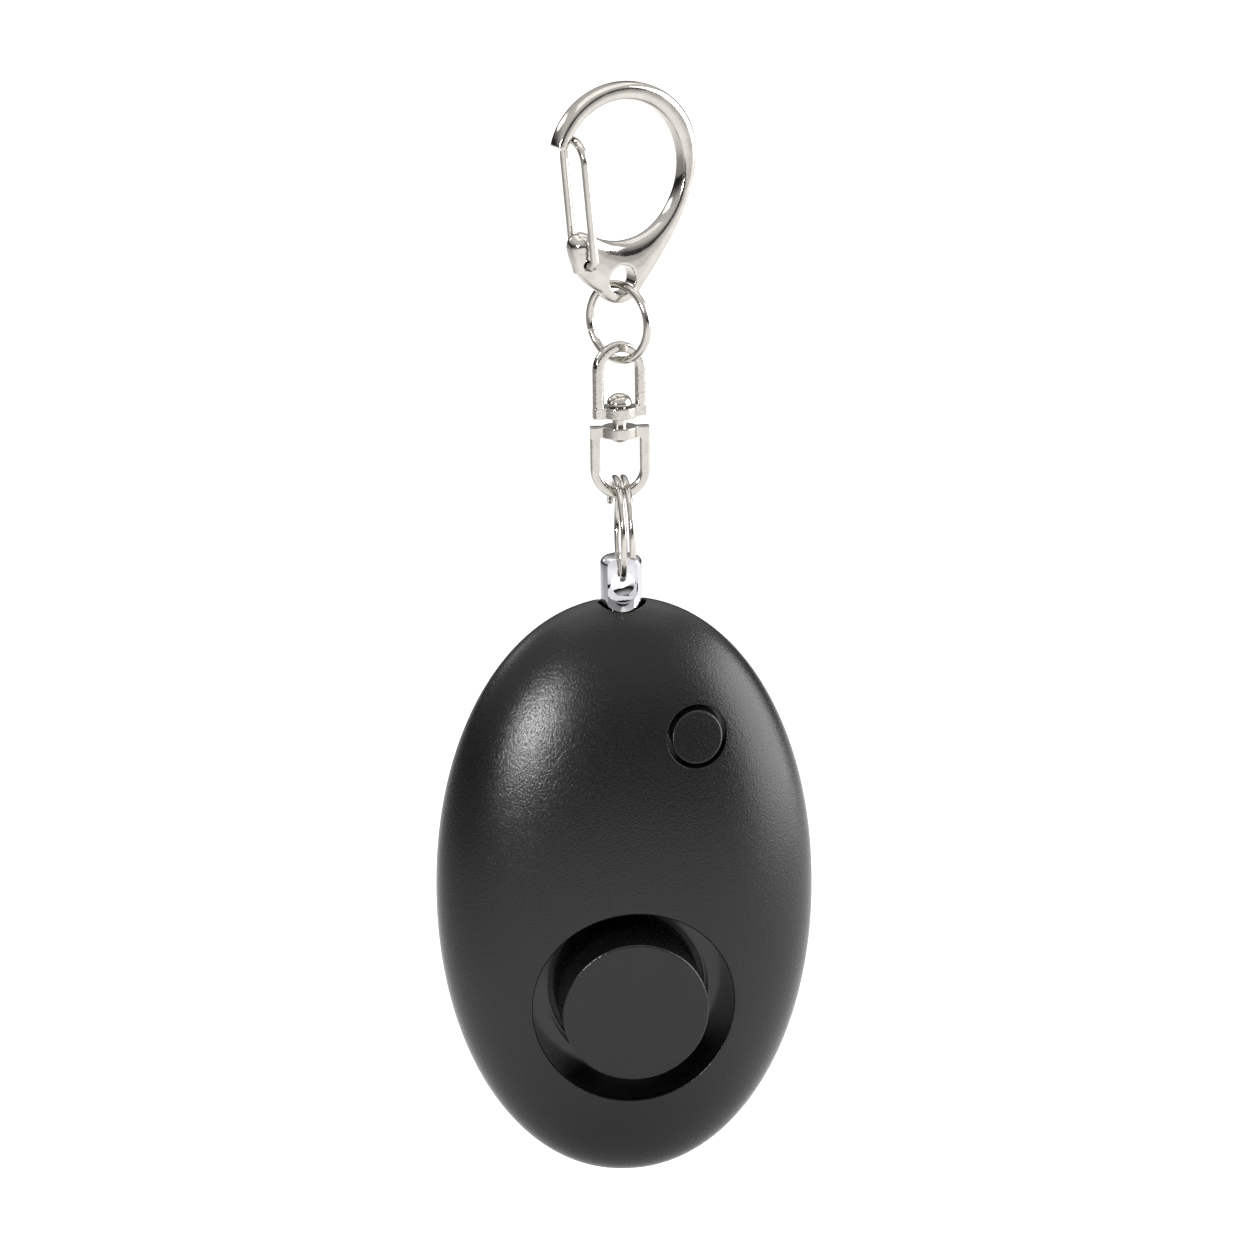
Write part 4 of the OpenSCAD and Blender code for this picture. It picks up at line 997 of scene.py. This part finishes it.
def gate_wire():
    """Sprung wire bow whose two feet bend in and turn in the ear."""
    top = GATE_LEN - GATE_HALF
    corner = [(GATE_HALF - GATE_BEND + GATE_BEND * math.sin(a), GATE_BEND - GATE_BEND * math.cos(a))
              for a in (math.pi / 2 * k / 8 for k in range(9))]
    right = [(GATE_FOOT, 0.0)] + corner + [(GATE_HALF, top * share) for share in (0.25, 0.5, 0.75)]
    bow = [(GATE_HALF * math.cos(a), top + GATE_HALF * math.sin(a)) for a in (math.pi * k / 28 for k in range(29))]
    path = right + bow + [(-y, z) for y, z in reversed(right)]
    rings = []
    for k, (y, z) in enumerate(path):
        before, after = path[max(k - 1, 0)], path[min(k + 1, len(path) - 1)]
        along = Vector((0, after[0] - before[0], after[1] - before[1])).normalized()
        across = Vector((1, 0, 0))
        rings.append(tube_ring(Vector((0, y, z)), along.cross(across), across, GATE_WIRE_R, 24))
    gate = sweep(rings)
    lay = Matrix.Translation((GATE_U, 0, GATE_Z)) @ Matrix.Rotation(GATE_LEAN, 4, "Y")
    move_points(gate, lambda p: lay @ p)
    finish_with(gate, WIRE_NICKEL)
    return hand_over(to_hook_plane(gate), "gate_bow", "gate", ["gate_wire"], smooth_deg=50)


front_shell()
back_shell()
sound_disc()
light_button()
pull_pin()
lamp_window()
case_screws()
link_ring()
split_ring()
upper_bail()
lower_bail()
swivel_rivet()
snap_hook()
gate_wire()


# Studio: pale floor, soft light and the camera at the photograph's angle
def pale_floor():
    made = start(bpy.ops.mesh.primitive_plane_add, size=FLOOR_SIZE, location=(0, 0, FLOOR_Z))
    apply_place(made)
    material, tree, shader, place = new_material("floor_white_paper_with_painted_glow")
    fibre = add_node(tree, "ShaderNodeTexNoise", [(place, "Vector")], Scale=per_metre(4), Detail=2.0)
    tone = add_node(tree, "ShaderNodeValToRGB", [(fibre.outputs["Fac"], "Fac")])
    tone.color_ramp.elements[0].color = linear("#868686")
    tone.color_ramp.elements[1].color = linear("#8c8c8c")
    tree.links.new(tone.outputs["Color"], shader.inputs["Base Color"])
    shader.inputs["Roughness"].default_value = 0.9
    shader.inputs["Specular IOR Level"].default_value = 0.0
    # The floor glows white, which is painted light; its strength is masked below
    shader.inputs["Emission Color"].default_value = linear("#ffffff")
    # Painted light: the floor glows as a lit strip behind the part, dim at its sides and darker under the part as a
    # painted shadow, which gives the plated pieces their dark edges
    across = add_node(tree, "ShaderNodeSeparateXYZ", [(place, "Vector")]).outputs["X"]
    left = add_node(tree, "ShaderNodeMapRange", [(across, "Value")], **FLOOR_LEFT)
    right = add_node(tree, "ShaderNodeMapRange", [(across, "Value")], **FLOOR_RIGHT)
    flat = add_node(tree, "ShaderNodeVectorMath", [(place, 0)])
    flat.operation = "MULTIPLY"
    flat.inputs[1].default_value = (1, 1, 0)
    out = add_node(tree, "ShaderNodeVectorMath", [(flat.outputs["Vector"], 0)])
    out.operation = "LENGTH"
    shadow = add_node(tree, "ShaderNodeMapRange", [(out.outputs["Value"], "Value")], **FLOOR_PAINTED_SHADOW)
    glow = left.outputs["Result"]
    for dim in (right, shadow):
        both = add_node(tree, "ShaderNodeMath", [(glow, 0), (dim.outputs["Result"], 1)])
        both.operation = "MULTIPLY"
        glow = both.outputs["Value"]
    tree.links.new(glow, shader.inputs["Emission Strength"])
    finish_with(made, material)
    made.name = "floor"


def soft_light(name, place, wide, tall, watts):
    """Flat lamp that faces the middle of the case."""
    lamp = bpy.data.lights.new(name, "AREA")
    lamp.shape = "RECTANGLE"
    lamp.size = wide
    lamp.size_y = tall
    lamp.energy = watts
    made = bpy.data.objects.new(name, lamp)
    made.location = place
    made.rotation_euler = (Vector((0, 0, CASE_Z * MM)) - Vector(place)).to_track_quat("-Z", "Y").to_euler()
    bpy.context.scene.collection.objects.link(made)


def camera():
    azimuth, rise = math.radians(CAMERA_AZIMUTH), math.radians(CAMERA_ELEVATION)
    towards = Vector((math.sin(azimuth) * math.cos(rise), -math.cos(azimuth) * math.cos(rise), math.sin(rise)))
    right = Vector((math.cos(azimuth), math.sin(azimuth), 0))
    target = Vector((0, 0, VIEW_Z)) + right * VIEW_RIGHT
    lens = bpy.data.cameras.new("camera")
    lens.sensor_fit = "HORIZONTAL"
    lens.angle = 2 * math.atan(VIEW_HALF / CAMERA_DISTANCE)
    lens.clip_start = 0.01
    lens.clip_end = 50
    made = bpy.data.objects.new("camera", lens)
    turn = (-towards).to_track_quat("-Z", "Y") @ Matrix.Rotation(math.radians(CAMERA_ROLL), 4, "Z").to_quaternion()
    made.matrix_world = Matrix.Translation(target + towards * CAMERA_DISTANCE) @ turn.to_matrix().to_4x4()
    bpy.context.scene.collection.objects.link(made)
    bpy.context.scene.camera = made


def studio_sky():
    """Room light that is dark along the horizon and pale overhead, which gives the plating its dark bands."""
    world = bpy.data.worlds.new("studio")
    bpy.context.scene.world = world
    world.use_nodes = True
    sky = world.node_tree
    place = add_node(sky, "ShaderNodeTexCoord").outputs["Generated"]
    height = add_node(sky, "ShaderNodeSeparateXYZ", [(place, "Vector")]).outputs["Z"]
    tone = add_node(sky, "ShaderNodeValToRGB", [(height, "Fac")])
    tone.color_ramp.elements[0].color = linear(SKY_HORIZON)
    tone.color_ramp.elements[1].color = linear(SKY_TOP)
    for share, grey in SKY_STEPS:
        tone.color_ramp.elements.new(share).color = linear(grey)
    sky.links.new(tone.outputs["Color"], sky.nodes["Background"].inputs["Color"])


FLOOR_SIZE = 16
FLOOR_Z = cad_box[0].z - 60 * MM
# Where the floor's painted glow falls off, in metres, and what is left of it: to the left, to the right and under the
# part, where it makes a painted shadow
FLOOR_LEFT = {"From_Min": -0.5, "From_Max": -0.08, "To_Min": 0.15}
FLOOR_RIGHT = {"From_Min": 1.2, "From_Max": 0.38, "To_Min": 0.5}
FLOOR_PAINTED_SHADOW = {"From_Min": 0.02, "From_Max": 0.12, "To_Min": 0.25}
SKY_HORIZON = "#101010"
SKY_TOP = "#f4f4f4"
SKY_STEPS = ((0.12, "#3c3c3c"), (0.35, "#c8c8c8"), (0.62, "#f4f4f4"))
# Name, place in metres, width, height and watts of each lamp
LAMPS = (
    ("key_front_left", (-0.465, -0.535, 0.156), 0.09, 0.09, 4.6),
    ("broad_right", (0.747, -0.065, 0.12), 0.76, 0.6, 8.5),
    ("overhead", (0.0, 0.2, 0.9), 1.2, 1.2, 4),
    ("rim_left_behind", (-0.45, 0.5, 0.24), 0.14, 0.14, 0.2),
)
CAMERA_AZIMUTH = -6
CAMERA_ELEVATION = 14.5
CAMERA_ROLL = -0.6
CAMERA_DISTANCE = 700 * MM
VIEW_HALF = 68.9 * MM
VIEW_Z = -58.56 * MM
VIEW_RIGHT = 0.36 * MM

pale_floor()
camera()
for lamp in LAMPS:
    soft_light(*lamp)
studio_sky()
bpy.context.scene.view_settings.view_transform = "Standard"
